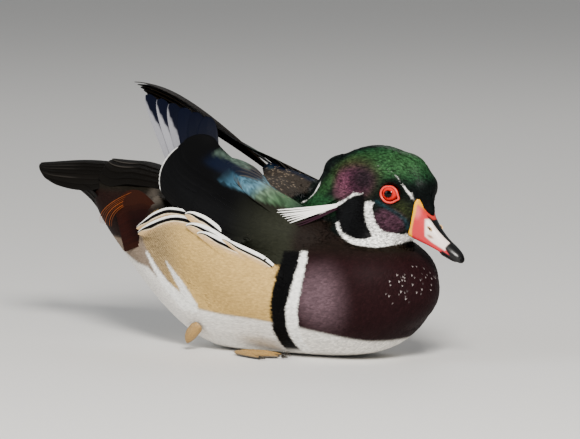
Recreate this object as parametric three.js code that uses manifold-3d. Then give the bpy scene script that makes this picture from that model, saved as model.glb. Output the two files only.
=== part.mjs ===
// A drake wood duck, life-size and still, sitting on its belly as it floats, with its feet tucked under.
// Millimetres. +X points to the bill, +Y to the bird's left, +Z up. The origin is on the flat of the belly.
import * as THREE from "three";
import { mergeVertices } from "three/addons/utils/BufferGeometryUtils.js";
import Module from "manifold-3d";

const wasm = await Module();
wasm.setup();

// Driving sizes of the bird
const GAP = 0.3; // clearance kept between neighbouring parts
const EYE = { at: [101, 19.5, 124.5], ball: 6.6, flat: 0.8, sunk: 3, ring: 7.2, rim: 1.2 };
const BILL = { length: 44, root: -6, droop: 27, gape: [114, 0, 95.5] };

// What each part looks like
const PAINT = {
  torso: { color: 0x6b2a30, roughness: 0.8, metalness: 0 },
  neck: { color: 0x2a2118, roughness: 0.75, metalness: 0 },
  head: { color: 0x14402c, roughness: 0.45, metalness: 0.1 },
  bill_upper: { color: 0xc8402f, roughness: 0.35, metalness: 0 },
  bill_lower: { color: 0x26201e, roughness: 0.4, metalness: 0 },
  crest: { color: 0x12382a, roughness: 0.5, metalness: 0.1 },
  eye: { color: 0xa11c12, roughness: 0.1, metalness: 0 },
  eye_ring: { color: 0xd8402a, roughness: 0.4, metalness: 0 },
  flank: { color: 0xc2a066, roughness: 0.85, metalness: 0 },
  wing: { color: 0x14161c, roughness: 0.5, metalness: 0.05 },
  primaries: { color: 0x8f97a6, roughness: 0.5, metalness: 0.05 },
  rump: { color: 0x4a1618, roughness: 0.8, metalness: 0 },
  leg: { color: 0x9a7636, roughness: 0.6, metalness: 0 },
  foot: { color: 0xa8823c, roughness: 0.6, metalness: 0 },
  tail: { color: 0x1d1b19, roughness: 0.6, metalness: 0.05 },
  tail_coverts_under: { color: 0x241d19, roughness: 0.8, metalness: 0 },
};

const RIGHT = -1;
const LEFT = 1;
const point = (x, y, z) => new THREE.Vector3(x, y, z);
const mix = (a, b, t) => a + (b - a) * t;
const flip = (side) => (p) => [p[0], p[1] * side, p[2]];
const mixPoints = (a, b, t) => point(mix(a[0], b[0], t), mix(a[1], b[1], t), mix(a[2], b[2], t));
const clamp = (t) => Math.min(1, Math.max(0, t));
const smooth = (t) => clamp(t) * clamp(t) * (3 - 2 * clamp(t));

// Solids: a closed mesh becomes a solid whose faces point out, and back

function solid(geometry) {
  geometry.deleteAttribute("normal");
  geometry.deleteAttribute("uv");
  const merged = mergeVertices(geometry, 1e-3);
  const triVerts = new Uint32Array(merged.index.array);
  const vertProperties = new Float32Array(merged.attributes.position.array);
  const build = () => new wasm.Manifold(new wasm.Mesh({ numProp: 3, vertProperties, triVerts }));
  const first = build();
  if (first.volume() > 0) return first;
  for (let i = 0; i < triVerts.length; i += 3) triVerts.subarray(i + 1, i + 3).reverse();
  return build();
}

const joined = (parts) => parts.reduce((whole, part) => whole.add(part));
const cleared = (whole, cutters) => cutters.reduce((rest, cutter) => rest.subtract(cutter), whole);
const largest = (whole) => whole.decompose().reduce((a, b) => (b.volume() > a.volume() ? b : a));

function geometryOf(whole) {
  const mesh = whole.getMesh();
  const corners = new Float32Array(mesh.numVert * 3);
  for (let i = 0; i < mesh.numVert; i++) {
    corners.set(mesh.vertProperties.subarray(i * mesh.numProp, i * mesh.numProp + 3), i * 3);
  }
  const geometry = new THREE.BufferGeometry();
  geometry.setAttribute("position", new THREE.BufferAttribute(corners, 3));
  geometry.setIndex(new THREE.BufferAttribute(new Uint32Array(mesh.triVerts), 1));
  geometry.computeVertexNormals();
  return geometry;
}

// A smooth size between rows of sizes, each row placed by its x, falling from front to back
function sized(rows, key) {
  const slope = (i) => {
    const a = rows[Math.max(0, i - 1)];
    const b = rows[Math.min(rows.length - 1, i + 1)];
    return (b[key] - a[key]) / (b.x - a.x);
  };
  return (x) => {
    let i = rows.findIndex((row, k) => k > 0 && x >= row.x);
    if (i < 0) i = rows.length - 1;
    const [a, b] = [rows[i - 1], rows[i]];
    const span = b.x - a.x;
    const t = clamp((x - a.x) / span);
    const rise = (t ** 3 - 2 * t ** 2 + t) * span * slope(i - 1) + (t ** 3 - t ** 2) * span * slope(i);
    return mix(a[key], b[key], smooth(t)) + rise;
  };
}

// A closed skin: the sphere's poles run along it, place(t, angle) gives the point at t from 0 to 1 along it
function closedSkin(around, along, place) {
  const sphere = new THREE.SphereGeometry(1, around, along);
  const corners = sphere.getAttribute("position");
  for (let i = 0; i < corners.count; i++) {
    const v = point(0, 0, 0).fromBufferAttribute(corners, i);
    const t = Math.acos(Math.min(1, Math.max(-1, v.y))) / Math.PI;
    const p = place(t, Math.atan2(v.z, v.x), Math.hypot(v.x, v.z) < 1e-6);
    corners.setXYZ(i, p.x, p.y, p.z);
  }
  return solid(sphere);
}

// An oval, turned nose-down by tilt degrees
function oval(centre, radii, tilt = 0, around = 20, along = 12) {
  const ball = new THREE.SphereGeometry(1, around, along);
  ball.scale(...radii);
  ball.rotateY(THREE.MathUtils.degToRad(tilt));
  ball.translate(...centre);
  return solid(ball);
}

// A rod of round section that swells and tapers: knots are [x, y, z, radius]
function limb(knots, sides, steps) {
  const line = new THREE.CatmullRomCurve3(knots.map((k) => point(k[0], k[1], k[2])));
  const girth = (t) => {
    const at = t * (knots.length - 1);
    const i = Math.min(knots.length - 2, Math.floor(at));
    return mix(knots[i][3], knots[i + 1][3], smooth(at - i));
  };
  return closedSkin(sides, steps, (t, angle, pole) => {
    const centre = line.getPoint(t);
    if (pole) return centre;
    const ahead = line.getTangent(t);
    const side = point(-ahead.y, ahead.x, 0).normalize();
    const top = point(0, 0, 0).crossVectors(ahead, side).normalize();
    const r = girth(t) * Math.sqrt(Math.sin(Math.PI * t));
    return centre.addScaledVector(side, r * Math.cos(angle)).addScaledVector(top, r * Math.sin(angle));
  });
}

// A thin plate on a grid, its cells split alike on both faces; place(u, v, face) gives each corner
function plate(across, along, place) {
  const grid = new THREE.PlaneGeometry(1, 1, across, along);
  const uv = grid.getAttribute("uv");
  const count = uv.count;
  const corners = new Float32Array(count * 6);
  for (let i = 0; i < count; i++) {
    place(uv.getX(i), 1 - uv.getY(i), 1).toArray(corners, i * 3);
    place(uv.getX(i), 1 - uv.getY(i), -1).toArray(corners, (count + i) * 3);
  }
  const faces = [...grid.index.array];
  for (let i = 0; i < grid.index.count; i += 3) {
    faces.push(grid.index.getX(i) + count, grid.index.getX(i + 2) + count, grid.index.getX(i + 1) + count);
  }
  const row = across + 1;
  const rim = [];
  for (let j = 0; j < along; j++) rim.push(j * row);
  for (let i = 0; i < across; i++) rim.push(along * row + i);
  for (let j = along; j > 0; j--) rim.push(j * row + across);
  for (let i = across; i > 0; i--) rim.push(i);
  rim.forEach((p, k) => {
    const q = rim[(k + 1) % rim.length];
    faces.push(q, p, p + count, q, p + count, q + count);
  });
  const geometry = new THREE.BufferGeometry();
  geometry.setAttribute("position", new THREE.BufferAttribute(corners, 3));
  geometry.setIndex(faces);
  return solid(geometry);
}

// Torso: one smooth hull from the breast to the root of the tail, cut flat where it rests

const HULL = [
  { x: 124, mid: 58, up: 31, down: 34, half: 44 },
  { x: 100, mid: 56, up: 35, down: 46, half: 50 },
  { x: 60, mid: 54, up: 41, down: 54, half: 56 },
  { x: 0, mid: 56, up: 48, down: 59, half: 58 },
  { x: -60, mid: 60, up: 52, down: 60, half: 54 },
  { x: -100, mid: 72, up: 51, down: 48, half: 45 },
  { x: -140, mid: 94, up: 34, down: 32, half: 32 },
  { x: -182, mid: 117, up: 12, down: 13, half: 18 },
];
const hull = {
  mid: sized(HULL, "mid"),
  up: sized(HULL, "up"),
  down: sized(HULL, "down"),
  half: sized(HULL, "half"),
};
const HULL_ENDS = { front: 124, frontRound: 46, rear: -182, rearRound: 30 };
const HULL_POWER = 2.2; // above 2, the section is a little squarer than an ellipse
const HULL_GROW = 1.4; // the torso is cleared a little wider than the rest, because its facets are coarse

function hullPoint(x, angle, grow) {
  const f = clamp((x - (HULL_ENDS.front - HULL_ENDS.frontRound)) / HULL_ENDS.frontRound);
  const b = clamp((HULL_ENDS.rear + HULL_ENDS.rearRound - x) / HULL_ENDS.rearRound);
  const end = Math.pow(Math.max(0, 1 - f ** 2.2), 0.5) * Math.pow(Math.max(0, 1 - b ** 2.2), 0.5);
  const c = Math.cos(angle);
  const s = Math.sin(angle);
  const reach = (Math.abs(c) ** HULL_POWER + Math.abs(s) ** HULL_POWER) ** (-1 / HULL_POWER);
  const height = s > 0 ? hull.up(x) : hull.down(x);
  const swell = grow / Math.max(0.3, end);
  const across = c * reach * (hull.half(x) + swell) * end;
  return point(x, across, hull.mid(x) + s * reach * (height + swell) * end);
}

function torsoSolid(grow = 0) {
  const length = HULL_ENDS.front - HULL_ENDS.rear;
  const whole = closedSkin(24, 22, (t, angle, pole) => {
    const x = HULL_ENDS.front - length * mix(t, (1 - Math.cos(Math.PI * t)) / 2, 0.75);
    const p = hullPoint(x, angle, grow);
    p.x += grow * Math.cos(Math.PI * t);
    if (pole) p.y = 0;
    return p;
  });
  const floor = new THREE.BoxGeometry(400, 200, 60).translate(0, 0, -30 - grow);
  return whole.subtract(solid(floor));
}

// Head: ovals that share one middle and melt into each other, nose down by the droop of the bill

const SKULL_MIDDLE = point(88, 0, 122);
const SKULL_BLEND = 14;
const SKULL = [
  { centre: [84, 0, 129], radii: [38, 20, 30], tilt: 12 }, // crown
  { centre: [107, 0, 129], radii: [19, 14, 25], tilt: 0 }, // forehead
  { centre: [93, 0, 108], radii: [27, 21, 23], tilt: 18 }, // cheeks and throat
  { centre: [98, 0, 118], radii: [25, 19, 22], tilt: 20 }, // face
  { centre: [64, 0, 127], radii: [27, 16, 25], tilt: 30 }, // nape
];

function ovalReach(part, way) {
  const turn = new THREE.Matrix4().makeRotationY(THREE.MathUtils.degToRad(-part.tilt));
  const [centre, radii] = [point(...part.centre), point(...part.radii)];
  const from = SKULL_MIDDLE.clone().sub(centre).applyMatrix4(turn).divide(radii);
  const d = way.clone().applyMatrix4(turn).divide(radii);
  const [a, b, c] = [d.dot(d), from.dot(d), from.dot(from) - 1];
  const inside = b * b - a * c;
  return inside > 0 ? Math.max(0, (-b + Math.sqrt(inside)) / a) : 0;
}

function skullSolid(grow = 0) {
  return closedSkin(22, 16, (t, angle) => {
    const ring = Math.sin(Math.PI * t);
    const way = point(Math.cos(Math.PI * t), ring * Math.cos(angle), ring * Math.sin(angle));
    const sum = SKULL.reduce((so, part) => so + ovalReach(part, way) ** SKULL_BLEND, 0);
    const reach = sum ** (1 / SKULL_BLEND);
    return SKULL_MIDDLE.clone().addScaledVector(way, reach + grow);
  });
}

// Neck: short and thick, since the head is drawn in

const NECK = [
  { x: 130, mid: 70, half: 18, long: 26 },
  { x: 112, mid: 68, half: 21, long: 30 },
  { x: 98, mid: 64, half: 26, long: 37 },
  { x: 86, mid: 60, half: 33, long: 45 },
  { x: 62, mid: 56, half: 40, long: 50 },
];
const NECK_ENDS = { top: 128, bottom: 62 };
const neck = { mid: sized(NECK, "mid"), half: sized(NECK, "half"), long: sized(NECK, "long") };

function neckSolid(grow = 0) {
  return closedSkin(18, 8, (t, angle) => {
    const z = mix(NECK_ENDS.top + grow, NECK_ENDS.bottom - grow, t);
    const end = Math.pow(Math.max(0, 1 - Math.abs(2 * t - 1) ** 8), 0.5);
    return point(
      neck.mid(z) + (neck.long(z) + grow) * end * Math.cos(angle),
      (neck.half(z) + grow) * end * Math.sin(angle),
      z,
    );
  });
}

// Bill: its own frame runs from the gape, forward along the line of the mouth

const billTurn = THREE.MathUtils.degToRad(BILL.droop);
function inBill(along, side, up) {
  return point(
    BILL.gape[0] + along * Math.cos(billTurn) + up * Math.sin(billTurn),
    side,
    BILL.gape[2] - along * Math.sin(billTurn) + up * Math.cos(billTurn),
  );
}

// x runs along the bill from the tip to its root in the face
const UPPER = [
  { x: 44, top: 3.5, low: -1.2, half: 2.6 },
  { x: 41, top: 5.6, low: -0.4, half: 4.6 },
  { x: 34, top: 7.4, low: 0.2, half: 6.2 },
  { x: 24, top: 9.4, low: 0.3, half: 6.9 },
  { x: 15, top: 12.8, low: 0.2, half: 7.6 },
  { x: 7, top: 18, low: 0, half: 8.6 },
  { x: -6, top: 24, low: 0, half: 9.2 },
];
const upper = { top: sized(UPPER, "top"), low: sized(UPPER, "low"), half: sized(UPPER, "half") };
const BILL_SQUARE = { top: 1.9, low: 4 }; // powers of the section: round above, flat below

function upperBill(grow = 0) {
  return closedSkin(14, 14, (t, angle, pole) => {
    const along = mix(BILL.length + grow, BILL.root, mix(t, (1 - Math.cos(Math.PI * t)) / 2, 0.5));
    const end = pole ? 0 : Math.pow(Math.max(0, 1 - Math.abs(2 * t - 1) ** 9), 0.5);
    const mid = mix(upper.low(along), upper.top(along), 0.3);
    const c = Math.cos(angle);
    const s = Math.sin(angle);
    const height = s > 0 ? upper.top(along) - mid : mid - upper.low(along);
    const power = s > 0 ? BILL_SQUARE.top : BILL_SQUARE.low;
    const reach = end * (Math.abs(c) ** power + Math.abs(s) ** power) ** (-1 / power);
    return inBill(along, c * reach * (upper.half(along) + grow), mid + s * reach * (height + grow));
  });
}

const NAIL = { along: 39.8, up: 2.2, radii: [4.4, 3.4, 3.4] };
const NOSTRIL = { along: 18, side: 6.2, up: 7.6, radii: [2.6, 2, 1.1] };
const inBillOval = (spot, side) => {
  return oval(inBill(spot.along, side, spot.up).toArray(), spot.radii, BILL.droop, 10, 6);
};

const LOWER_BILL = { length: 40, half: 2.1, drop: 1.9, keel: 0.9, keelLength: 20, taper: 0.82 };

function lowerBill() {
  return closedSkin(10, 10, (t, angle, pole) => {
    const along = mix(LOWER_BILL.length, BILL.root, t);
    const end = pole ? 0 : Math.pow(Math.max(0, 1 - Math.abs(2 * t - 1) ** 8), 0.5);
    const half = upper.half(along) * LOWER_BILL.taper;
    const mid = -LOWER_BILL.drop - LOWER_BILL.keel * clamp(1 - along / LOWER_BILL.keelLength);
    return inBill(along, Math.cos(angle) * half * end, mid + Math.sin(angle) * LOWER_BILL.half * end);
  });
}

// A row of a shell that straddles the middle of the bird, with its face up or, for -1, down
const tent = (x, edge, z, middleX, middleZ, face = 1) => {
  return { low: [x, edge * face, z], swell: [middleX, 0, middleZ], high: [x, -edge * face, z] };
};

// Shells: a surface carried by three lines, low, swell and high, that run from front to rear

function shell(rows, side = 1) {
  const lines = ["low", "swell", "high"].map((key) => {
    return new THREE.CatmullRomCurve3(rows.map((row) => point(...flip(side)(row[key]))));
  });
  const weights = (t) => [(1 - t) * (1 - 2 * t), 4 * t * (1 - t), t * (2 * t - 1)];
  const along = (s) => {
    const over = s - clamp(s);
    const base = clamp(s);
    const step = over < 0 ? -0.03 : 0.03;
    return lines.map((l) => {
      const p = l.getPoint(base);
      if (over === 0) return p;
      return p.clone().addScaledVector(p.sub(l.getPoint(base - step)), over / step);
    });
  };
  const at = (s, t) => {
    const sum = point(0, 0, 0);
    along(s).forEach((p, i) => sum.addScaledVector(p, weights(t)[i]));
    return sum;
  };
  const out = (s, t) => {
    const h = 0.02;
    const ds = at(s + h, t).sub(at(s - h, t));
    const dt = at(s, t + h).sub(at(s, t - h));
    return ds.cross(dt).normalize().multiplyScalar(side);
  };
  const height = (s) => {
    const [a, b, c] = along(s);
    return a.distanceTo(b) + b.distanceTo(c);
  };
  return { at, out, height };
}

// The solid under a shell, from the shell's own face down to its thickness, thinning to its rim
function pad(sheet, { thick, across, along, area }, grow = 0) {
  return plate(across, along, (u, v, face) => {
    const s = mix(area.s[0], area.s[1], v) + (v - 0.5) * grow * 0.04;
    const t = mix(area.t[0], area.t[1], u) + (u - 0.5) * grow * 0.04;
    const rim = Math.sqrt(Math.sin(Math.PI * mix(0.03, 0.97, u)) * Math.sin(Math.PI * mix(0.03, 0.97, v)));
    const depth = face > 0 ? grow : -mix(1.2, thick, rim) - grow;
    return sheet.at(s, t).addScaledVector(sheet.out(s, t), depth);
  });
}

// Feathers: half the width of a blade at t along it, narrow at the quill and rounded or pointed at the tip
function halfWidth(f, t) {
  const round = Math.sqrt(Math.max(0.02, 1 - (Math.max(0, t - f.blunt) / (1.01 - f.blunt)) ** 2));
  return (f.width / 2) * mix(0.55, 1, smooth(t / 0.4)) * round;
}

// How far a blade's face stands off its middle: the quill is raised, one edge dips under the next blade
function stand(f, t, w, face, grow) {
  const quill = face > 0 ? (1 - Math.abs(w)) * 0.2 * (1 - t) : 0;
  return (face * (f.thick + 2 * grow)) / 2 + quill + f.tilt * w;
}

// A blade that lies on a shell: root and tip are places [s, t] on it
function shellBlade(sheet, f, grow) {
  return (u, v, face) => {
    const t = 1 - (1 - v) ** 1.3;
    const s = mix(f.root[0], f.tip[0], t) + (v - 0.5) * grow * 0.02;
    const w = 2 * u - 1;
    const at = mix(f.root[1], f.tip[1], t) + (w * (halfWidth(f, t) + grow)) / sheet.height(s);
    const lift = mix(-f.sink, f.lift, smooth(t / f.rise));
    return sheet.at(s, at).addScaledVector(sheet.out(s, at), lift + stand(f, t, w, face, grow));
  };
}

// A blade that stands free: root, via and tip are points
function freeBlade(f, grow) {
  const [root, via, tip] = [f.root, f.via, f.tip].map((p) => point(...p));
  const bend = via.clone().multiplyScalar(2).addScaledVector(root, -0.5).addScaledVector(tip, -0.5);
  const line = new THREE.QuadraticBezierCurve3(root, bend, tip);
  const up = point(...f.face).normalize();
  return (u, v, face) => {
    const t = 1 - (1 - v) ** 1.3;
    const ahead = line.getTangent(t);
    const across = point(0, 0, 0).crossVectors(up, ahead).normalize();
    const out = point(0, 0, 0).crossVectors(ahead, across).normalize();
    const w = 2 * u - 1;
    const half = halfWidth(f, t) + grow;
    const cup = -f.cup * w * w * half;
    const off = f.lift + cup + stand(f, t, w, face, grow);
    return line.getPoint(t).addScaledVector(across, w * half).addScaledVector(out, off);
  };
}

// Every size of a feather between the first and the last of its tier
const BLADE = { width: 15, thick: 0.6, lift: 0, sink: 2, rise: 0.35, tilt: 0, cup: 0.02, blunt: 0.7 };
function between(tier, t) {
  const first = { ...BLADE, ...tier, ...tier.first };
  const last = { ...BLADE, ...tier, ...tier.last };
  const f = {};
  for (const key of Object.keys(BLADE)) f[key] = mix(first[key], last[key], t);
  for (const key of ["root", "via", "tip"]) {
    if (first[key]) f[key] = first[key].map((value, i) => mix(value, last[key][i], t));
  }
  return { ...f, face: tier.face };
}

// A tier of feathers, each laid a step over the next: by pitch from first to last, by fall from the middle out
function feathers(tier, sheet = null, grow = 0) {
  const { count, steps = 4, across = 1, pitch = 0, fall = 0 } = tier;
  return Array.from({ length: count }, (_, i) => {
    const off = i - (count - 1) / 2;
    const step = pitch * off - fall * Math.abs(off);
    const f = between(tier, count > 1 ? i / (count - 1) : 0);
    const laid = { ...f, lift: f.lift + step, sink: f.sink - step };
    return plate(across, steps, sheet ? shellBlade(sheet, laid, grow) : freeBlade(laid, grow));
  });
}

function mirrored(side, tier) {
  const turn = flip(side);
  const turned = (f) => ({ ...f, root: turn(f.root), via: turn(f.via), tip: turn(f.tip) });
  return { ...tier, face: turn(tier.face), first: turned(tier.first), last: turned(tier.last) };
}

// Flank: the long side feathers, which lie over the lower edge of the wing

const FLANK = [
  { low: [46, 27, 14], swell: [45, 51, 40], high: [42, 50, 66] },
  { low: [22, 34, 8], swell: [23, 60, 42], high: [24, 59, 77] },
  { low: [-10, 36, 7], swell: [-8, 64, 50], high: [-6, 60.5, 88] },
  { low: [-40, 34, 12], swell: [-38, 62, 62], high: [-37, 57, 103] },
  { low: [-64, 28, 28], swell: [-67, 55.5, 70], high: [-64, 52, 109] },
  { low: [-84, 26, 48], swell: [-90, 48, 74], high: [-89, 46, 105] },
  { low: [-94, 28, 63], swell: [-107, 42.5, 80], high: [-104, 42, 96] },
];
const FLANK_PAD = { thick: 18, across: 6, along: 9, area: { s: [0, 0.93], t: [0, 0.9] } };
const FLANK_TIPS = {
  count: 8,
  width: 15,
  pitch: -0.6,
  blunt: 0.55,
  lift: 2.4,
  sink: 2.6,
  rise: 1.4,
  first: { root: [0.04, 0.78], tip: [0.36, 1] },
  last: { root: [0.66, 0.78], tip: [1.0, 0.86] },
};

// Wings: each is a shell from the shoulder to the tips of its long feathers. The right one shows its outer
// face; the left one is lifted behind, nearly level

const WING = {
  [RIGHT]: [
    { low: [54, 36, 84], swell: [54, 32, 91], high: [50, 22, 98] },
    { low: [30, 50, 77], swell: [29, 47, 98], high: [29, 24, 114] },
    { low: [-2, 57, 84], swell: [-4, 51, 110], high: [-3, 18, 124] },
    { low: [-30, 56, 94], swell: [-32, 47, 120], high: [-31, 14, 137] },
    { low: [-60, 51, 105], swell: [-62, 41, 130], high: [-52, 13, 150] },
    { low: [-87, 41, 118], swell: [-87, 31, 142], high: [-64, 11, 162] },
  ],
  [LEFT]: [
    { low: [54, 36, 84], swell: [54, 32, 91], high: [50, 22, 98] },
    { low: [30, 50, 77], swell: [29, 47, 98], high: [29, 26, 113] },
    { low: [-2, 57, 84], swell: [-4, 51, 109], high: [-3, 23, 125] },
    { low: [-26, 57, 102], swell: [-32, 47, 122], high: [-35, 20, 138.5] },
    { low: [-52, 57, 127], swell: [-57, 38, 139], high: [-58, 14, 148.5] },
    { low: [-84, 50, 147], swell: [-88, 32, 154], high: [-80, 13, 159.5] },
  ],
};
const ARM_PAD = { thick: 13, across: 5, along: 7, area: { s: [0, 0.66], t: [0, 1] } };
const SECONDARIES = {
  count: 6,
  width: 15,
  blunt: 0.86,
  tilt: -1.5,
  first: { root: [0.52, 0.07], tip: [1, 0.06] },
  last: { root: [0.52, 0.5], tip: [1, 0.62] },
};
const TERTIALS = {
  count: 3,
  across: 2,
  width: 19,
  blunt: 0.76,
  tilt: -2.2,
  lift: 3.6,
  first: { root: [0.48, 0.66], tip: [0.98, 0.68] },
  last: { root: [0.5, 0.86], tip: [1, 0.93] },
};
const COVERTS = {
  count: 5,
  steps: 3,
  width: 15,
  blunt: 0.6,
  tilt: -1.5,
  lift: 3.6,
  first: { root: [0.3, 0.12], tip: [0.68, 0.1] },
  last: { root: [0.3, 0.54], tip: [0.66, 0.5] },
};
const SCAPULARS = {
  count: 4,
  width: 15,
  blunt: 0.55,
  pitch: -1,
  lift: 5,
  first: { root: [0.12, 0.76], tip: [0.48, 0.76] },
  last: { root: [0.36, 0.9], tip: [0.76, 0.84] },
};
const WING_BLOCK = { face: 7, back: 2.4, area: { s: [0, 1.03], t: [-0.06, 1.06] } };
const PRIMARIES = {
  [RIGHT]: {
    count: 6,
    pitch: 0.9,
    blunt: 0.5,
    face: [0.35, 0.9, 0.3],
    first: { width: 13, root: [-74, 26, 108], via: [-95, 25, 156], tip: [-123, 13, 187.5] },
    last: { width: 17, root: [-56, 19, 112], via: [-64, 11, 146], tip: [-69, 3, 168] },
  },
  [LEFT]: {
    count: 4,
    pitch: -0.85,
    blunt: 0.55,
    width: 14,
    face: [0.35, 0.35, 0.87],
    first: { root: [-34, 20, 132.5], via: [-101, 13, 178], tip: [-149, 10, 191.5] },
    last: { root: [-36, 30, 129], via: [-92, 25, 161], tip: [-128, 20, 179] },
  },
};
const HAND = { centre: [-64, 22, 108], radii: [12, 6, 11], tilt: 20 };

// Tail: a tent of feathers, with long coverts above and below their roots

const TAIL = [
  tent(-96, 34, 114, -94, 128),
  tent(-122, 28, 119, -120, 131),
  tent(-150, 22, 123, -148, 131.5),
  tent(-180, 23, 124.5, -186, 132),
  tent(-206, 25, 124, -229, 128),
];
const TAIL_ROOT = { centre: [-146, 0, 122.5], radii: [34, 19, 8.5] };
const RECTRICES = {
  count: 9,
  width: 13,
  blunt: 0.84,
  fall: 1.2,
  sink: 0.5,
  first: { root: [0.5, 0.12], tip: [1, 0.08] },
  last: { root: [0.5, 0.88], tip: [1, 0.92] },
};
const UPPER_COVERTS = {
  count: 6,
  width: 16,
  blunt: 0.7,
  fall: 1.3,
  lift: 2.8,
  sink: 3,
  rise: 0.6,
  first: { root: [0.12, 0.16], tip: [0.62, 0.14] },
  last: { root: [0.12, 0.84], tip: [0.62, 0.86] },
};
const UNDERTAIL = [
  tent(-104, 30, 52, -100, 24, -1),
  tent(-128, 27, 76, -126, 47, -1),
  tent(-150, 23, 93, -150, 68, -1),
  tent(-172, 18, 107, -176, 93, -1),
  tent(-198, 14, 118, -208, 111, -1),
];
const VENT = { centre: [-142, 0, 77], radii: [24, 18, 9], tilt: 44 };
const UNDER_COVERTS = {
  count: 5,
  width: 18,
  blunt: 0.6,
  fall: 1.3,
  lift: 2,
  sink: 3,
  rise: 0.5,
  first: { root: [0.18, 0.14], tip: [0.96, 0.14] },
  last: { root: [0.18, 0.86], tip: [0.96, 0.86] },
};

// Rump plumes: maroon, hanging from behind the wing over the side of the tail
const RUMP = {
  count: 6,
  width: 14,
  blunt: 0.5,
  pitch: 1,
  face: [-0.25, 1, 0.2],
  first: { root: [-96, 42, 76], via: [-112, 42, 76], tip: [-124, 36, 62] },
  last: { root: [-96, 38, 112], via: [-126, 37, 113], tip: [-148, 36, 90] },
};
const RUMP_ROOT = { centre: [-96, 39, 94], radii: [5, 5, 22] };

// Crest: long locks that run back from the crown and hang over the nape

const MANE = [
  tent(78, 20, 122, 62, 154),
  tent(52, 18, 113, 40, 145.5),
  tent(26, 13, 103, 20, 119),
  tent(0, 6, 98, -9, 104),
];
const CREST_CORE = { depth: 1.6, reach: 0.95 };
const LOCK = { sink: 2.5, blunt: 0.3, thick: 0.9, steps: 3 };
const LOCKS = [
  {
    ...LOCK,
    count: 4,
    width: 7,
    lift: -0.2,
    first: { root: [0.56, 0.12], tip: [1, 0.16] },
    last: { root: [0.56, 0.88], tip: [1, 0.84] },
  },
  {
    ...LOCK,
    count: 5,
    width: 9,
    lift: 1,
    first: { root: [0.34, 0.08], tip: [0.84, 0.1] },
    last: { root: [0.34, 0.92], tip: [0.84, 0.9] },
  },
  {
    ...LOCK,
    count: 5,
    width: 12,
    lift: 2.2,
    first: { root: [0.1, 0.12], tip: [0.6, 0.12] },
    last: { root: [0.1, 0.88], tip: [0.6, 0.88] },
  },
];

function crestSolid() {
  const sheet = shell(MANE);
  const core = closedSkin(16, 8, (t, angle, pole) => {
    const s = CREST_CORE.reach * t;
    const arch = Math.max(0.02, Math.sin(Math.PI * (0.12 + 0.84 * t))) ** 0.35;
    const side = (1 - Math.cos(angle)) / 2;
    const raised = Math.max(0, Math.sin(angle)) ** 0.5;
    const face = sheet.at(s, side).addScaledVector(sheet.out(s, side), -CREST_CORE.depth * raised);
    const under = sheet.at(s, 0).lerp(sheet.at(s, 1), side);
    const middle = sheet.at(s, 0).lerp(sheet.at(s, 1), 0.5).lerp(sheet.at(s, 0.5), 0.3);
    return pole ? middle : middle.lerp(raised > 0.001 ? face : under, arch);
  });
  return joined([core, ...LOCKS.flatMap((tier) => feathers(tier, sheet))]);
}

// Legs and feet: tucked under the belly, shanks along the ground, webs flat on it

const FOOT = { heel: [-62, 44, 4.5], ankle: [-26, 43, 4], hock: [-63, 44, 5], tibia: [-48, 42, 24] };
const WEB = { thick: 1.2, height: 1.3, root: 0.1, reach: 0.94, scallop: 0.14 };
const TOES = [
  [18, 30, 36],
  [24, 43, 44],
  [14, 58, 46],
];

function legSolid(side) {
  const f = flip(side);
  const shank = limb([[...f(FOOT.ankle), 2.6], [...f([-44, 44, 4.2]), 2.8], [...f(FOOT.heel), 4.4]], 8, 6);
  const thigh = limb([[...f(FOOT.hock), 3.6], [...f([-58, 43.5, 14]), 5], [...f(FOOT.tibia), 6.5]], 8, 6);
  return joined([shank, thigh]);
}

function footSolid(side) {
  const f = flip(side);
  const from = [FOOT.ankle[0] + 4.2, FOOT.ankle[1], 2.4];
  const toes = TOES.map(([x, y]) => {
    const knuckle = [mix(from[0], x, 0.5), mix(from[1], y, 0.55), 2.6];
    return limb([[...f(from), 3], [...f(knuckle), 2.2], [...f([x, y, 1.6]), 1.5]], 6, 5);
  });
  const web = plate(4, 3, (u, v, face) => {
    const edge = u < 0.5 ? mixPoints(TOES[0], TOES[1], u * 2) : mixPoints(TOES[1], TOES[2], u * 2 - 1);
    const scallop = 1 - WEB.scallop * Math.sin(Math.PI * ((u * 2) % 1));
    const reach = mix(WEB.root, WEB.reach * scallop, v);
    const across = side * mix(from[1], edge.y, reach);
    return point(mix(from[0], edge.x, reach), across, WEB.height + (face * WEB.thick) / 2);
  });
  const ground = solid(new THREE.BoxGeometry(300, 300, 20).translate(0, 0, -10));
  return joined([...toes, web]).subtract(ground);
}

// Eyes: round balls in the face, each between lids that form a raised red ring

function eyeBall(side, grow = 0) {
  const [x, y, z] = EYE.at;
  const wide = EYE.ball + grow;
  return oval([x, (y - EYE.sunk) * side, z], [wide, wide - EYE.flat, wide], 0, 14, 8);
}

function eyeRing(side) {
  const ring = new THREE.TorusGeometry(EYE.ring, EYE.rim, 5, 14);
  ring.scale(1.04, 0.94, 1);
  ring.rotateX(Math.PI / 2);
  ring.translate(...flip(side)(EYE.at));
  return solid(ring);
}

// Assembly: neighbours are cut clear of each other, each by the other's shape grown by the gap

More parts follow.
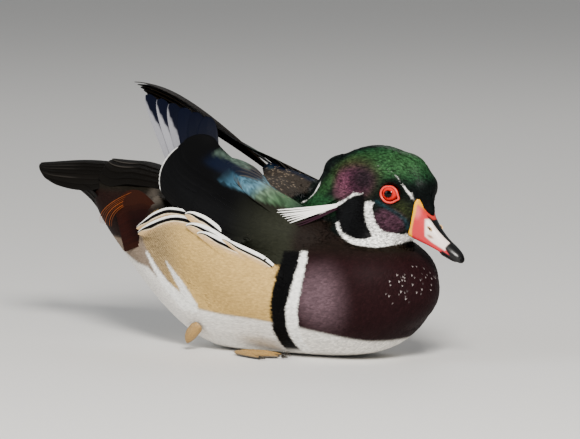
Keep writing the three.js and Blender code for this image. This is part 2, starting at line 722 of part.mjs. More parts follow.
const torso = torsoSolid();
const torsoGrown = torsoSolid(GAP * HULL_GROW);
const skullGrown = skullSolid(GAP * HULL_GROW);
const neckGrown = neckSolid(GAP * HULL_GROW);
const nailGrown = { ...NAIL, radii: NAIL.radii.map((r) => r + GAP) };
const billGrown = upperBill(GAP).add(inBillOval(nailGrown, 0));
const nostrils = [RIGHT, LEFT].map((side) => inBillOval(NOSTRIL, side * NOSTRIL.side));
const made = {
  torso,
  neck: cleared(neckSolid(), [torsoGrown, skullGrown]),
  head: cleared(skullSolid(), [eyeBall(RIGHT, GAP), eyeBall(LEFT, GAP), torsoGrown]),
  bill_upper: cleared(upperBill().add(inBillOval(NAIL, 0)), [skullGrown, ...nostrils]),
  bill_lower: cleared(lowerBill(), [skullGrown, billGrown]),
  crest: cleared(crestSolid(), [skullGrown, neckGrown, torsoGrown]),
};

const WING_TIERS = [SECONDARIES, TERTIALS, COVERTS, SCAPULARS];
const wingSolid = (sheet) => {
  return joined([pad(sheet, ARM_PAD), ...WING_TIERS.flatMap((tier) => feathers(tier, sheet))]);
};
const flankSolid = (sheet, grow) => {
  return joined([pad(sheet, FLANK_PAD, grow), ...feathers(FLANK_TIPS, sheet, grow)]);
};

// The room that a wing takes up, which its own long feathers and the rump are cut by
const wingBlock = (sheet) => {
  const { s, t } = WING_BLOCK.area;
  return plate(5, 8, (u, v, face) => {
    const [along, up] = [mix(s[0], s[1], v), mix(t[0], t[1], u)];
    const depth = face > 0 ? WING_BLOCK.face : -WING_BLOCK.back;
    return sheet.at(along, up).addScaledVector(sheet.out(along, up), depth);
  });
};

const tail = shell(TAIL);
const undertail = shell(UNDERTAIL);
const tailSolid = (grow) => {
  const root = oval(TAIL_ROOT.centre, TAIL_ROOT.radii, 0, 12, 6);
  return joined([root, ...feathers(RECTRICES, tail, grow), ...feathers(UPPER_COVERTS, tail, grow)]);
};
const tailGrown = tailSolid(GAP);

for (const [name, side] of [["right", RIGHT], ["left", LEFT]]) {
  const wing = shell(WING[side], side);
  const flank = shell(FLANK, side);
  const flankGrown = flankSolid(flank, GAP);
  const wingGrown = wingBlock(wing);
  const primaries = feathers(mirrored(side, PRIMARIES[side]));
  const wingParts = side === LEFT ? [wingSolid(wing), ...primaries] : [wingSolid(wing)];
  made["eye_" + name] = eyeBall(side);
  made["eye_ring_" + name] = cleared(eyeRing(side), [skullGrown, eyeBall(side, GAP)]);
  made["flank_" + name] = cleared(flankSolid(flank, 0), [torsoGrown]);
  made["wing_" + name] = cleared(joined(wingParts), [torsoGrown, flankGrown, neckGrown]);
  if (side === RIGHT) {
    const hand = oval(flip(side)(HAND.centre), HAND.radii, HAND.tilt, 10, 8);
    const arm = pad(wing, ARM_PAD, GAP);
    const cutters = [torsoGrown, wingGrown, arm, flankGrown];
    made["primaries_" + name] = cleared(joined([hand, ...primaries]), cutters);
  }
  const rumpRoot = oval(flip(side)(RUMP_ROOT.centre), RUMP_ROOT.radii, 0, 10, 8);
  const rump = joined([rumpRoot, ...feathers(mirrored(side, RUMP))]);
  made["rump_" + name] = cleared(rump, [torsoGrown, flankGrown, wingGrown, tailGrown]);
  made["leg_" + name] = cleared(legSolid(side), [torsoGrown, flankGrown]);
  made["foot_" + name] = cleared(footSolid(side), [torsoGrown, flankGrown]);
}

made.tail = cleared(tailSolid(0), [torsoGrown]);
const vent = oval(VENT.centre, VENT.radii, VENT.tilt, 12, 8);
const underCoverts = joined([vent, ...feathers(UNDER_COVERTS, undertail)]);
made.tail_coverts_under = cleared(underCoverts, [torsoGrown, tailGrown]);

const duck = new THREE.Group();
for (const [name, whole] of Object.entries(made)) {
  const look = PAINT[name] ?? PAINT[name.replace(/_(right|left)$/, "")];
  const mesh = new THREE.Mesh(geometryOf(largest(whole)), new THREE.MeshStandardMaterial(look));
  mesh.name = name;
  duck.add(mesh);
}
export default duck;
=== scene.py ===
# A drake wood duck as it sits on the water, life-size: the looks of a still museum-type model.
# Sizes are millimetres until a mesh is made. +X points to the bill, +Y to the bird's left, +Z up.
import math

import bmesh
import bpy
import numpy as np
from mathutils import Matrix, Vector
from mathutils.bvhtree import BVHTree


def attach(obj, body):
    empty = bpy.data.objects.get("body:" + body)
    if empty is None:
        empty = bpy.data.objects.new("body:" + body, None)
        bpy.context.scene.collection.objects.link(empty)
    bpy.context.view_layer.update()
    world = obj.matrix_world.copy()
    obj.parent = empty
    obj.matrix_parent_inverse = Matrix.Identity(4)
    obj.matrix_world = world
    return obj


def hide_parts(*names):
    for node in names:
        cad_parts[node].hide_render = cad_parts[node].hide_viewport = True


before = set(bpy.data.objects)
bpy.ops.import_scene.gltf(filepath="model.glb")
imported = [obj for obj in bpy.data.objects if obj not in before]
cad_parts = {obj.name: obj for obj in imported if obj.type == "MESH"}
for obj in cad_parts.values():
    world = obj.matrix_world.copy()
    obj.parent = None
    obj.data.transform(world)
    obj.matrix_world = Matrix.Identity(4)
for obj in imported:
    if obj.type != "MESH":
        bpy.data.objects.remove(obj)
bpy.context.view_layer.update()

# The setting: a pale floor, a soft key light high in front of the bird, a wide fill and a weak
# light from behind, and the camera well away on the bird's right, a little above it.

MM = 0.001
VIEW_YAW = math.radians(35)
VIEW_RISE = math.radians(6)
VIEW_AIM = Vector((0, 0, 0.0979))
VIEW_DISTANCE = 4.7689


def placed(name, data):
    """A new object that stands in the scene."""
    thing = bpy.data.objects.new(name, data)
    bpy.context.scene.collection.objects.link(thing)
    return thing


to_camera = Vector((
    math.sin(VIEW_YAW) * math.cos(VIEW_RISE),
    -math.cos(VIEW_YAW) * math.cos(VIEW_RISE),
    math.sin(VIEW_RISE),
))
lens = bpy.data.cameras.new("camera_lens")
lens.lens = 400
lens.sensor_width = 36
lens.clip_start = 0.1
lens.clip_end = 60
camera = placed("camera", lens)
camera.location = VIEW_AIM + to_camera * VIEW_DISTANCE
camera.rotation_euler = (-to_camera).to_track_quat("-Z", "Y").to_euler()
bpy.context.scene.camera = camera


def soft_light(name, place, width, power, tone):
    """A square studio lamp that faces the bird."""
    lamp = bpy.data.lights.new(name, "AREA")
    lamp.size = width
    lamp.energy = power
    lamp.color = tone
    stand = placed(name, lamp)
    stand.location = place
    stand.rotation_euler = (Vector(place) - VIEW_AIM).to_track_quat("Z", "Y").to_euler()


soft_light("key_light", (1.5, -1.9, 1.7), 0.7, 165, (1, 0.97, 0.92))
soft_light("fill_light", (-1.6, -2.0, 1.1), 1.6, 30, (0.94, 0.97, 1))
soft_light("rim_light", (-1.0, 1.7, 1.8), 1.0, 9, (1, 0.99, 0.97))

studio = bpy.data.worlds.new("studio")
studio.use_nodes = True
sky = studio.node_tree.nodes["Background"].inputs
sky["Color"].default_value = (0.86, 0.88, 0.9, 1)
sky["Strength"].default_value = 0.32
bpy.context.scene.world = studio


def new_material(name):
    """A node material, its tree of nodes and its shader."""
    material = bpy.data.materials.new(name)
    material.use_nodes = True
    tree = material.node_tree
    return material, tree, tree.nodes["Principled BSDF"]


def mesh_of(name, form):
    """The mesh of a finished form."""
    mesh = bpy.data.meshes.new(name)
    form.to_mesh(mesh)
    form.free()
    return mesh


FLOOR_HALF = 9.0
floor_form = bmesh.new()
bmesh.ops.create_grid(floor_form, x_segments=4, y_segments=4, size=FLOOR_HALF)
floor = placed("floor", mesh_of("floor", floor_form))
floor_paint, _, floor_shader = new_material("pale_floor")
floor_shader.inputs["Base Color"].default_value = (0.72, 0.71, 0.69, 1)
floor_shader.inputs["Roughness"].default_value = 0.7
floor.data.materials.append(floor_paint)

# The sheets that the long feathers lie on: each is carried by three lines that run from front to
# rear, its low edge, its swell and its high edge, as the skin under a row of quills is.

RIGHT, LEFT = -1, 1
SIDES = (("right", RIGHT), ("left", LEFT))


def ease(t):
    """0 to 1 with a soft start and a soft end."""
    t = np.clip(t, 0, 1)
    return t * t * (3 - 2 * t)


def blend(a, b, t):
    """a where t is 0, b where it is 1."""
    return a + (b - a) * t


def spline(points, s):
    """A smooth line through points, s from 0 to 1 along it."""
    points = np.asarray(points, float)
    last = len(points) - 1
    ends = np.vstack([2 * points[0] - points[1], points, 2 * points[-1] - points[-2]])
    place = np.clip(np.asarray(s, float), 0, 1) * last
    i = np.minimum(place.astype(int), last - 1)
    t = (place - i)[..., None]
    before, start, end, after = (ends[i + k] for k in range(4))
    gaps = [np.linalg.norm(q - p, axis=-1, keepdims=True) ** 0.5
            for p, q in ((before, start), (start, end), (end, after))]
    a, b, c = gaps
    leave = ((start - before) / a - (end - before) / (a + b) + (end - start) / b) * b
    arrive = ((end - start) / b - (after - start) / (b + c) + (after - end) / c) * b
    square = 3 * (end - start) - 2 * leave - arrive
    cube = 2 * (start - end) + leave + arrive
    return start + t * (leave + t * (square + t * cube))


class Sheet:
    """A curved sheet; at(s, t) is a point of it, s from front to rear, t from low to high."""

    def __init__(self, rows, side=LEFT):
        turn = np.array([1, side, 1])
        self.lines = [np.array([row[k] for row in rows]) * turn for k in range(3)]
        self.side = side

    def along(self, s):
        """Where the three lines are at s, run on straight past their ends."""
        s = np.asarray(s, float)
        base = np.clip(s, 0, 1)
        over = (s - base)[..., None]
        step = np.where(over < 0, -0.03, 0.03)
        places = []
        for line in self.lines:
            p = spline(line, base)
            q = spline(line, base - step[..., 0])
            places.append(p + (p - q) * over / step)
        return places

    def at(self, s, t):
        t = np.asarray(t, float)[..., None]
        low, swell, high = self.along(s)
        return low * (1 - t) * (1 - 2 * t) + swell * 4 * t * (1 - t) + high * t * (2 * t - 1)

    def out(self, s, t):
        """The way that the sheet faces, out from the bird."""
        step = 0.02
        along = self.at(s + step, t) - self.at(s - step, t)
        across = self.at(s, t + step) - self.at(s, t - step)
        way = np.cross(along, across)
        return self.side * way / np.linalg.norm(way, axis=-1, keepdims=True)

    def height(self, s):
        """How far it is across the sheet at s, from low to high."""
        low, swell, high = self.along(s)
        return np.linalg.norm(low - swell, axis=-1) + np.linalg.norm(swell - high, axis=-1)


def tent(x, edge, z, middle_x, middle_z, face=1):
    """A row of a sheet that straddles the middle of the bird, face up, or down for -1."""
    return [x, edge * face, z], [middle_x, 0, middle_z], [x, -edge * face, z]


FLANK_ROWS = [
    ([46, 27, 14], [45, 51, 40], [42, 50, 66]),
    ([22, 34, 8], [23, 60, 42], [24, 59, 77]),
    ([-10, 36, 7], [-8, 64, 50], [-6, 60.5, 88]),
    ([-40, 34, 12], [-38, 62, 62], [-37, 57, 103]),
    ([-64, 28, 28], [-67, 55.5, 70], [-64, 52, 109]),
    ([-84, 26, 48], [-90, 48, 74], [-89, 46, 105]),
    ([-94, 28, 63], [-107, 42.5, 80], [-104, 42, 96]),
]
WING_ROWS = {
    RIGHT: [
        ([54, 36, 84], [54, 32, 91], [50, 22, 98]),
        ([30, 50, 77], [29, 47, 98], [29, 24, 114]),
        ([-2, 57, 84], [-4, 51, 110], [-3, 18, 124]),
        ([-30, 56, 94], [-32, 47, 120], [-31, 14, 137]),
        ([-60, 51, 105], [-62, 41, 130], [-52, 13, 150]),
        ([-87, 41, 118], [-87, 31, 142], [-64, 11, 162]),
    ],
    LEFT: [
        ([54, 36, 84], [54, 32, 91], [50, 22, 98]),
        ([30, 50, 77], [29, 47, 98], [29, 26, 113]),
        ([-2, 57, 84], [-4, 51, 109], [-3, 23, 125]),
        ([-26, 57, 102], [-32, 47, 122], [-35, 20, 138.5]),
        ([-52, 57, 127], [-57, 38, 139], [-58, 14, 148.5]),
        ([-84, 50, 147], [-88, 32, 154], [-80, 13, 159.5]),
    ],
}
TAIL_SHEET = Sheet([
    tent(-96, 34, 114, -94, 128),
    tent(-122, 28, 119, -120, 131),
    tent(-150, 23, 116, -148, 131.5),
    tent(-180, 25, 115.5, -186, 132),
    tent(-206, 26, 120, -229, 128),
])
UNDERTAIL_SHEET = Sheet([
    tent(-104, 30, 52, -100, 24, -1),
    tent(-128, 27, 76, -126, 47, -1),
    tent(-150, 24, 100, -150, 69, -1),
    tent(-172, 21, 114, -176, 102, -1),
    tent(-198, 18, 120, -207, 120, -1),
])
MANE_SHEET = Sheet([
    tent(78, 20, 122, 62, 154),
    tent(52, 18, 113, 40, 145.5),
    tent(26, 13, 103, 20, 119),
    tent(0, 6, 98, -9, 104),
])
FLANK_SHEETS = {side: Sheet(FLANK_ROWS, side) for _, side in SIDES}
WING_SHEETS = {side: Sheet(WING_ROWS[side], side) for _, side in SIDES}

# The markings, shared by the skin and by every small feather over it. Each colour is linear, and
# each outline is a few places on the right side of the bird in side view, the same on the left.


def near_line(points, line):
    """How far each point is from a line of straight stretches, and how far along it, 0 to 1."""
    line = np.asarray(line, float)
    steps = np.linalg.norm(np.diff(line, axis=0), axis=1)
    marks = np.concatenate([[0], np.cumsum(steps)]) / steps.sum()
    best = np.full(len(points), 1e9)
    where = np.zeros(len(points))
    for i in range(len(steps)):
        way = line[i + 1] - line[i]
        t = np.clip((points - line[i]) @ way / (way @ way), 0, 1)
        gap = np.linalg.norm(points - line[i] - t[:, None] * way, axis=1)
        closer = gap < best
        best[closer] = gap[closer]
        where[closer] = blend(marks[i], marks[i + 1], t[closer])
    return best, where


def inside(points, outline, soft=0.35):
    """1 inside an outline, 0 outside, with an edge as soft as given."""
    outline = np.asarray(outline, float)
    rim = np.vstack([outline, outline[:1]])
    gap, _ = near_line(points, rim)
    odd = np.zeros(len(points), bool)
    for (ax, ay), (bx, by) in zip(rim[:-1], rim[1:]):
        if ay == by:
            continue
        spans = (ay > points[:, 1]) != (by > points[:, 1])
        odd ^= spans & (points[:, 0] < (bx - ax) * (points[:, 1] - ay) / (by - ay) + ax)
    return ease(0.5 + np.where(odd, gap, -gap) / (2 * soft))


def patch(points, centre, reach, edge=0.35):
    """1 in the middle of an oval patch in side view, fading round its rim."""
    far = np.hypot((points[:, 0] - centre[0]) / reach[0], (points[:, 2] - centre[1]) / reach[1])
    return ease((1 + edge - far) / (2 * edge))


def lay(base, colour, amount):
    """Lays a colour over what is there, as much of it as the amount says at each place."""
    return base + (np.asarray(colour, float) - base) * amount[:, None]


def painted(ground, points, *layers):
    """A ground colour at every point, with layers over it: each a colour and its amounts."""
    tint = np.tile(ground, (len(points), 1))
    for colour, amount in layers:
        tint = lay(tint, colour, amount)
    return tint


def mirrored(points):
    """The same places, all on the left side of the bird."""
    return np.column_stack([points[:, 0], np.abs(points[:, 1]), points[:, 2]])


def edged(depth, soft):
    """1 where the depth inside an edge is well over nothing, 0 well outside it."""
    return ease(depth / soft + 0.5)


WHITE = (0.88, 0.87, 0.83)
JET = (0.0009, 0.0009, 0.0011)
BROW = [(118.5, 12, 121), (115.9, 13.5, 124.5), (112.2, 14.9, 129.1), (107.5, 15.4, 134.7),
        (103.6, 15.5, 138.6), (99.9, 16, 140.6), (94.1, 16.5, 142.9), (87.2, 16.7, 144.6)]
NAPE_LINE = [(37, 3, 138), (35.2, 6.3, 131.6), (31.7, 8.7, 125.2), (28.2, 9.5, 120.8),
             (21.3, 8.5, 115.3), (12.9, 6.1, 109.8)]
CHEEK_LINE = [(78.3, 19.3, 123.2), (68.4, 17.5, 121.7), (63.8, 18.2, 119.4), (58.7, 18.1, 116.1),
              (51.9, 17.1, 112.7), (45.6, 16.8, 110.6), (36.2, 13.6, 106.8), (24, 12, 103),
              (12, 8, 100.5), (-4, 4, 100)]
THROAT = [(79.4, 117.4), (79.3, 111.9), (80.7, 105.3), (83.4, 99.7), (86.6, 94.9), (88.7, 92.3),
          (83.4, 90.4), (76.6, 90.5), (71, 92), (65.1, 94.9), (61.3, 98.7), (59.3, 101.9),
          (57.1, 101.3), (58.7, 98.6), (62, 94.7), (67.6, 91), (72.7, 88.4), (79.9, 86.5),
          (87.6, 85.7), (93.7, 85.2), (98.8, 85.8), (104.6, 87.4), (111.5, 90.7), (113, 93),
          (111.3, 95), (107.2, 94.2), (103.4, 94.9), (97.4, 95.5), (93.8, 97.1), (90.7, 100.9),
          (88.5, 105), (87.3, 110), (85.8, 114), (88.4, 117.6)]
BLACK_CHEEK = [(79, 123.2), (68.4, 121.7), (58, 115.5), (52, 112), (56, 104), *THROAT[11::-1]]
GREEN_BAND = [(82, 14, 149), (62, 14, 147.5), (52, 14, 140), (43, 12, 128), (33, 10, 117)]
EYE_AT = np.array([101, 19.5, 124.5])
TEAL_EDGE = [(90, 118), (97, 115.5), (103, 112.5), (108, 109.5), (112, 105.5), (113, 99)]
HEAD_GROUND = (0.003, 0.005, 0.004)
CROWN_DEEP = (0.004, 0.026, 0.011)
CROWN_LIT_GREEN = (0.019, 0.056, 0.02)
BAND_GREEN = (0.012, 0.036, 0.012)
TEMPLE_OLIVE = (0.024, 0.024, 0.01)
TEMPLE_MAROON = (0.05, 0.016, 0.03)
TEMPLE_SHADE = (0.012, 0.006, 0.009)
TEMPLE_PINK = (0.115, 0.038, 0.062)
NAPE_GREEN = (0.012, 0.05, 0.018)
CREST_EDGE_SHADE = (0.001, 0.0025, 0.0025)
FACE_BLACK = (0.0012, 0.003, 0.002)
BROW_BLACK = (0.0012, 0.0022, 0.0022)
FACE_OLIVE = (0.014, 0.018, 0.006)
CHEEK_PURPLE = (0.036, 0.015, 0.024)
CHEEK_TEAL = (0.004, 0.02, 0.024)
NECK_BROWN = (0.008, 0.0055, 0.0035)
SOCKET_RED = (0.02, 0.003, 0.002)
SOCKET_REACH = 9.2


def head_tint(p):
    """The colour of the head at each place: green crown, purple sides, white throat and lines."""
    side = mirrored(p)
    x, out, z = side.T
    flat = p[:, [0, 2]]
    band, _ = near_line(side, GREEN_BAND)
    teal, _ = near_line(flat, TEAL_EDGE)
    brow, along_brow = near_line(side, BROW)
    brow_half = blend(0.75, 0.5, along_brow)
    nape, along_nape = near_line(side, NAPE_LINE)
    nape_half = 1.05 * np.sin(np.pi * np.clip(along_nape * 0.9 + 0.05, 0, 1)) ** 0.6
    cheek, along_cheek = near_line(side, CHEEK_LINE)
    cheek_half = np.interp(along_cheek, [0, 0.15, 0.45, 0.65, 0.8, 1], [0.6, 1.1, 1.7, 2.4, 2.8, 2.4])
    socket = np.linalg.norm(side - EYE_AT, axis=1)
    return painted(
        HEAD_GROUND, p,
        (CROWN_DEEP, patch(p, (92, 149), (38, 20), 0.4)),
        # Painted highlight: the top of the crown lighter green, where the light falls on it.
        (CROWN_LIT_GREEN, patch(p, (96, 145), (27, 11), 0.6)),
        (BAND_GREEN, ease((9 - band) / 7)),
        (TEMPLE_OLIVE, patch(p, (70, 134), (22, 14), 0.35)),
        (TEMPLE_MAROON, patch(p, (69, 131), (17, 11), 0.4)),
        (TEMPLE_SHADE, patch(p, (78, 134), (11, 8), 0.7)),
        (TEMPLE_PINK, patch(p, (57, 127), (6, 9), 0.8) * 0.8),
        (NAPE_GREEN, patch(p, (36, 112), (18, 7), 0.6)),
        # Painted shade: the top of the crown and crest near black along the edge, where the green gloss is
        # lost.
        (CREST_EDGE_SHADE, ease((10 - out) / 5) * ease((92 - x) / 16)),
        (FACE_BLACK, patch(p, (104, 126), (13, 11), 0.4)),
        (BROW_BLACK, ease((x - 113) / 7) * ease((138 - z) / 14)),
        (FACE_OLIVE, patch(p, (110, 112), (6, 7), 0.7)),
        (CHEEK_PURPLE, patch(p, (100, 104.5), (12, 9), 0.3)),
        (CHEEK_TEAL, ease((2.4 - teal) / 2.2) * 0.8),
        (NECK_BROWN, np.maximum(ease((94 - z) / 6), ease((57 - x) / 6) * ease((103 - z) / 4))),
        (JET, inside(flat, BLACK_CHEEK, 0.5)),
        (WHITE, inside(flat, THROAT)),
        (WHITE, edged(brow_half - brow, 0.5) * blend(1, 0.6, along_brow)),
        (WHITE, edged(nape_half - nape, 0.5)),
        (WHITE, edged(cheek_half - cheek, 0.6) * ease((0.9 - along_cheek) / 0.2)),
        (SOCKET_RED, ease((SOCKET_REACH - socket) / 1.5)),
    )


BELLY_LINE = [(-130, 68), (-113, 62), (-99, 60), (-84, 50), (-68, 40), (-55, 34), (-28, 31),
              (0, 30), (30, 27), (60, 22), (90, 16), (124, 14)]
VENT_STREAKS = (((-99, 71), (-89.4, 58.9), (-79.3, 48.4), (-61.8, 36)),
                ((-77, 66), (-62.5, 49.9), (-53.7, 35)))
FLANK_TOP = [(-110, 80), (-107, 92), (-93, 103), (-74, 105), (-41, 100), (-6, 82.5),
             (9, 77.5), (22, 72), (31, 70)]
WHITE_BAR_REAR = [(31, 20), (34.8, 39.8), (38.9, 49.7), (42.1, 60.9), (43.3, 71.7), (42.9, 80)]
WHITE_BAR_FRONT = [(41, 20), (44.5, 40.7), (47.5, 50.5), (49.8, 61.5), (49.5, 74.3), (46.8, 80.9)]
BLACK_BAR_REAR = [(17.5, 20), (22, 39.3), (25.3, 49.3), (28.2, 60.5), (29, 73.1), (30, 81.4)]
FLANK_REAR = [(-60, 34), (-75, 50), (-93, 66), (-101, 74), (-107, 84), (-108, 92)]
BACK_BROWN = (0.008, 0.0066, 0.0046)
RUMP_MAROON = (0.01, 0.004, 0.003)
RUMP_GREY = (0.05, 0.042, 0.034)
MANTLE_BROWN = (0.027, 0.022, 0.018)
BREAST_MAROON = (0.0115, 0.0035, 0.0042)
BREAST_LIT = (0.085, 0.052, 0.062)
COLLAR_BROWN = (0.008, 0.005, 0.0038)
VENT_TAN = (0.2, 0.15, 0.11)
BELLY_WHITE = (0.74, 0.71, 0.66)
FLANK_BUFF = (0.54, 0.35, 0.115)
FLANK_RUST = (0.36, 0.25, 0.12)


def along_x(line, x):
    """The height of a line at each x."""
    line = np.asarray(line)
    return np.interp(x, line[:, 0], line[:, 1])


def across_at(line, z):
    """The x of an upright line at each height."""
    line = np.asarray(line)
    return np.interp(z, line[:, 1], line[:, 0])


def body_tint(p):
    """The colour of the body, and in a fourth column how strong its fine dark lines are."""
    x, y, z = mirrored(p).T
    high = along_x(FLANK_TOP, x)
    low = edged(along_x(BELLY_LINE, x) - z, 3)
    mantle = ease((x + 60) / 10) * ease((34 - x) / 10) * ease((z - 98) / 6) * ease((30 - y) / 4)
    wing = edged(z - high, 2) * ease((y - 14) / 4) * ease((52 - x) / 3) * ease((x + 92) / 6)
    breast = edged(x - across_at(WHITE_BAR_FRONT, z), 1.2) * ease((97 - z) / 8)
    tint = painted(
        BACK_BROWN, p,
        (RUMP_MAROON, ease((-92 - x) / 8) * ease((116 - z) / 6) * ease((y - 12) / 10)),
        (RUMP_GREY, patch(p, (-100, 113), (10, 8), 0.4)),
        (MANTLE_BROWN, mantle),
        (wing_tint(p), wing),
        (BREAST_MAROON, breast),
        (BREAST_LIT, breast * patch(p, (62, 48), (18, 20), 0.7)),
        (COLLAR_BROWN, ease((z - 72) / 14) * ease((x - 30) / 10)),
        (VENT_TAN, ease((-40 - x) / 30) * ease((high - z) / 2)),
        (BELLY_WHITE, low),
    )
    side = ease((y - 26) / 8)
    flank = ease((high - z) / 1.4) * ease((x - across_at(FLANK_REAR, z)) / 3) * side * (1 - low)
    flank = flank * edged(across_at(BLACK_BAR_REAR, z) - x, 1)
    rust = ease((-45 - x) / 40)[:, None]
    tint = lay(tint, blend(np.array(FLANK_BUFF), np.array(FLANK_RUST), rust), flank)
    for streak, reach in zip(VENT_STREAKS, ((1.0, 6.0), (0.6, 5.5))):
        gap, way = near_line(p[:, [0, 2]], streak)
        tint = lay(tint, WHITE, edged(blend(*reach, way) - gap, 1.6) * side)
    top = ease((82 - z) / 1.5) * side
    black = edged(x - across_at(BLACK_BAR_REAR, z), 0.9)
    black = black * edged(across_at(WHITE_BAR_REAR, z) - x, 0.7) * top
    white = edged(x - across_at(WHITE_BAR_REAR, z), 0.7)
    white = white * edged(across_at(WHITE_BAR_FRONT, z) - x, 0.7) * top
    tint = lay(lay(tint, JET, black), WHITE, white)
    lines = flank * blend(0.3, 1, ease((-45 - x) / 45))
    return np.column_stack([tint, lines * (1 - black) * (1 - white)])


BLUE_BAND = [(-37, 133.5), (-26.6, 129), (-15.4, 126.5), (-5.3, 123.9), (2.5, 120.9), (15.9, 117.6),
             (23.9, 115), (30.9, 111.3)]
NAVY_BAND = [(-58, 146), (-47.9, 142), (-36.9, 138.1), (-23.3, 134.4), (-9.9, 129.2), (5.9, 124.5),
             (20.9, 118.9)]
PALE_EDGE = [(-50, 146.3), (-38.6, 143), (-30.1, 139.6), (-22, 136.6)]
GLOW_AT = (0, 0.2, 0.45, 0.58, 0.75, 1)
GLOW = ((0.003, 0.03, 0.09, 0.11, 0.06, 0.015), (0.006, 0.08, 0.2, 0.17, 0.12, 0.03),
        (0.01, 0.12, 0.26, 0.11, 0.06, 0.02))
WING_BLACK = (0.0014, 0.0014, 0.0016)
ARM_OLIVE = (0.0145, 0.0155, 0.01)
WING_NAVY = (0.0022, 0.0045, 0.013)
WING_PALE = (0.05, 0.075, 0.06)
SHOULDER_BROWN = (0.025, 0.02, 0.016)


def wing_tint(p):
    """The wing by place: black, olive-brown in front, with bands of blue and green along the top."""
    x, z = p[:, 0], p[:, 2]
    flat = p[:, [0, 2]]
    navy, along_navy = near_line(flat, NAVY_BAND)
    blue, along_blue = near_line(flat, BLUE_BAND)
    pale, _ = near_line(flat, PALE_EDGE)
    glow = np.column_stack([np.interp(along_blue, GLOW_AT, column) for column in GLOW])
    above = z - along_x(NAVY_BAND, x)
    return painted(
        WING_BLACK, p,
        (ARM_OLIVE, ease((x + 20) / 45)),
        (WING_NAVY, ease((5.6 - navy) / 3) * ease(along_navy / 0.15)),
        (glow, ease((4.7 - blue) / 1.8) * ease(along_blue / 0.15)),
        (WING_PALE, ease((2.0 - pale) / 1.2)),
        (SHOULDER_BROWN, ease((above - 4.5) / 2) * ease((x + 26) / 6)),
    )


# The skin: one body under all the small feathers, from the brow to the root of the tail, with
# the flanks, the crest's root and the roots of both wings in it, and no seam between them.

SKIN_VOXEL = 1.9 * MM
SKIN_GROW = 0.4 * MM
COAT_DEPTH = 1.3
SKIN_LOWEST = 0.4


def node_form(name, grow):
    """A closed copy of one of the solids, swollen enough to close the gap to its neighbour."""
    form = bmesh.new()
    form.from_mesh(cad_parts[name].data)
    bmesh.ops.remove_doubles(form, verts=form.verts, dist=1e-6)
    form.normal_update()
    for v in form.verts:
        v.co += v.normal * grow
    return form


def oval_form(centre, radii, tilt=0, steps=(24, 14)):
    """A closed oval, turned nose-down by tilt degrees."""
    form = bmesh.new()
    place = Matrix.Translation(Vector(centre) * MM)
    place = place @ Matrix.Rotation(math.radians(tilt), 4, "Y")
    place = place @ Matrix.Diagonal((*[r * MM for r in radii], 1))
    bmesh.ops.create_uvsphere(form, u_segments=steps[0], v_segments=steps[1], radius=1, matrix=place)
    return form


def pad_form(sheet, s_range, t_range, above, thick):
    """The flesh under a sheet of feathers; above is how far it stands off it, low edge and high."""
    form = bmesh.new()
    bmesh.ops.create_grid(form, x_segments=12, y_segments=14, size=1)
    for v in form.verts:
        s = blend(*s_range, (v.co.x + 1) / 2)
        t = blend(*t_range, (v.co.y + 1) / 2)
        v.co = (sheet.at(s, t) + sheet.out(s, t) * blend(*above, t)) * MM
    bmesh.ops.recalc_face_normals(form, faces=form.faces)
    inward = -Vector(sheet.out(0.4, 0.5)) * thick * MM
    flesh = bmesh.ops.extrude_face_region(form, geom=form.faces[:])
    moved = [g for g in flesh["geom"] if isinstance(g, bmesh.types.BMVert)]
    bmesh.ops.translate(form, verts=moved, vec=inward)
    return form


def melted(name, forms, voxel):
    """One mesh without seams from closed forms that overlap."""
    whole = bmesh.new()
    for form in forms:
        part = mesh_of("part", form)
        whole.from_mesh(part)
        bpy.data.meshes.remove(part)
    rough_mesh = mesh_of("rough", whole)
    rough = placed("rough", rough_mesh)
    melt = rough.modifiers.new("melt", "REMESH")
    melt.mode = "VOXEL"
    melt.voxel_size = voxel
    view = rough.evaluated_get(bpy.context.evaluated_depsgraph_get())
    mesh = bpy.data.meshes.new_from_object(view)
    mesh.name = name
    bpy.data.objects.remove(rough)
    bpy.data.meshes.remove(rough_mesh)
    return mesh


forms = [node_form(name, SKIN_GROW) for name in
         ("torso", "neck", "head", "crest", "flank_right", "flank_left")]
# The middle, radii and tilt of each oval of flesh that fills what the solids leave between them
for oval in (
    ((-146, 0, 122.5), (34, 19, 8), 0),
    ((-168, 0, 116), (32, 15, 8), -10),
    ((-142, 0, 77), (24, 18, 9), 44),
    ((-10, 0, 111), (36, 24, 16), 21),
    ((117.5, 0, 112), (13.4, 6, 9.5), 0),
    ((116, 0, 120), (13.2, 9.6, 9.5), 0),
    ((113, 0, 129), (17.5, 15.5, 14.5), 0),
    ((52, 0, 137), (22, 12, 14), 0),
    ((69, 0, 52), (60, 45, 38), 0),
    ((-8, 20, 124), (36, 11, 9), 15),
):
    forms.append(oval_form(*oval))
for _, side in SIDES:
    forms.append(oval_form((-96, 36 * side, 94), (12, 7, 24)))
    forms.append(oval_form((4, 47 * side, 80), (22, 9, 12)))
    forms.append(pad_form(WING_SHEETS[side], (0, 0.62), (0.04, 0.98), (0.6, 3), 12))
skin_mesh = melted("skin", forms, SKIN_VOXEL)

# Only the outermost closed surface is kept
shell = bmesh.new()
shell.from_mesh(skin_mesh)
left_over = set(shell.verts)
islands = []
while left_over:
    island = {left_over.pop()}
    rim = list(island)
    while rim:
        v = rim.pop()
        for edge in v.link_edges:
            w = edge.other_vert(v)
            if w in left_over:
                left_over.discard(w)
                island.add(w)
                rim.append(w)
    islands.append(island)
keep = max(islands, key=len)
bmesh.ops.delete(shell, geom=[v for v in shell.verts if v not in keep], context="VERTS")
bmesh.ops.triangulate(shell, faces=shell.faces[:])
shell.to_mesh(skin_mesh)
shell.free()


def vectors_of(items, field):
    """A vector of each item of a mesh, one to a row."""
    flat = np.empty(len(items) * 3, np.float32)
    items.foreach_get(field, flat)
    return flat.reshape(-1, 3).astype(float)


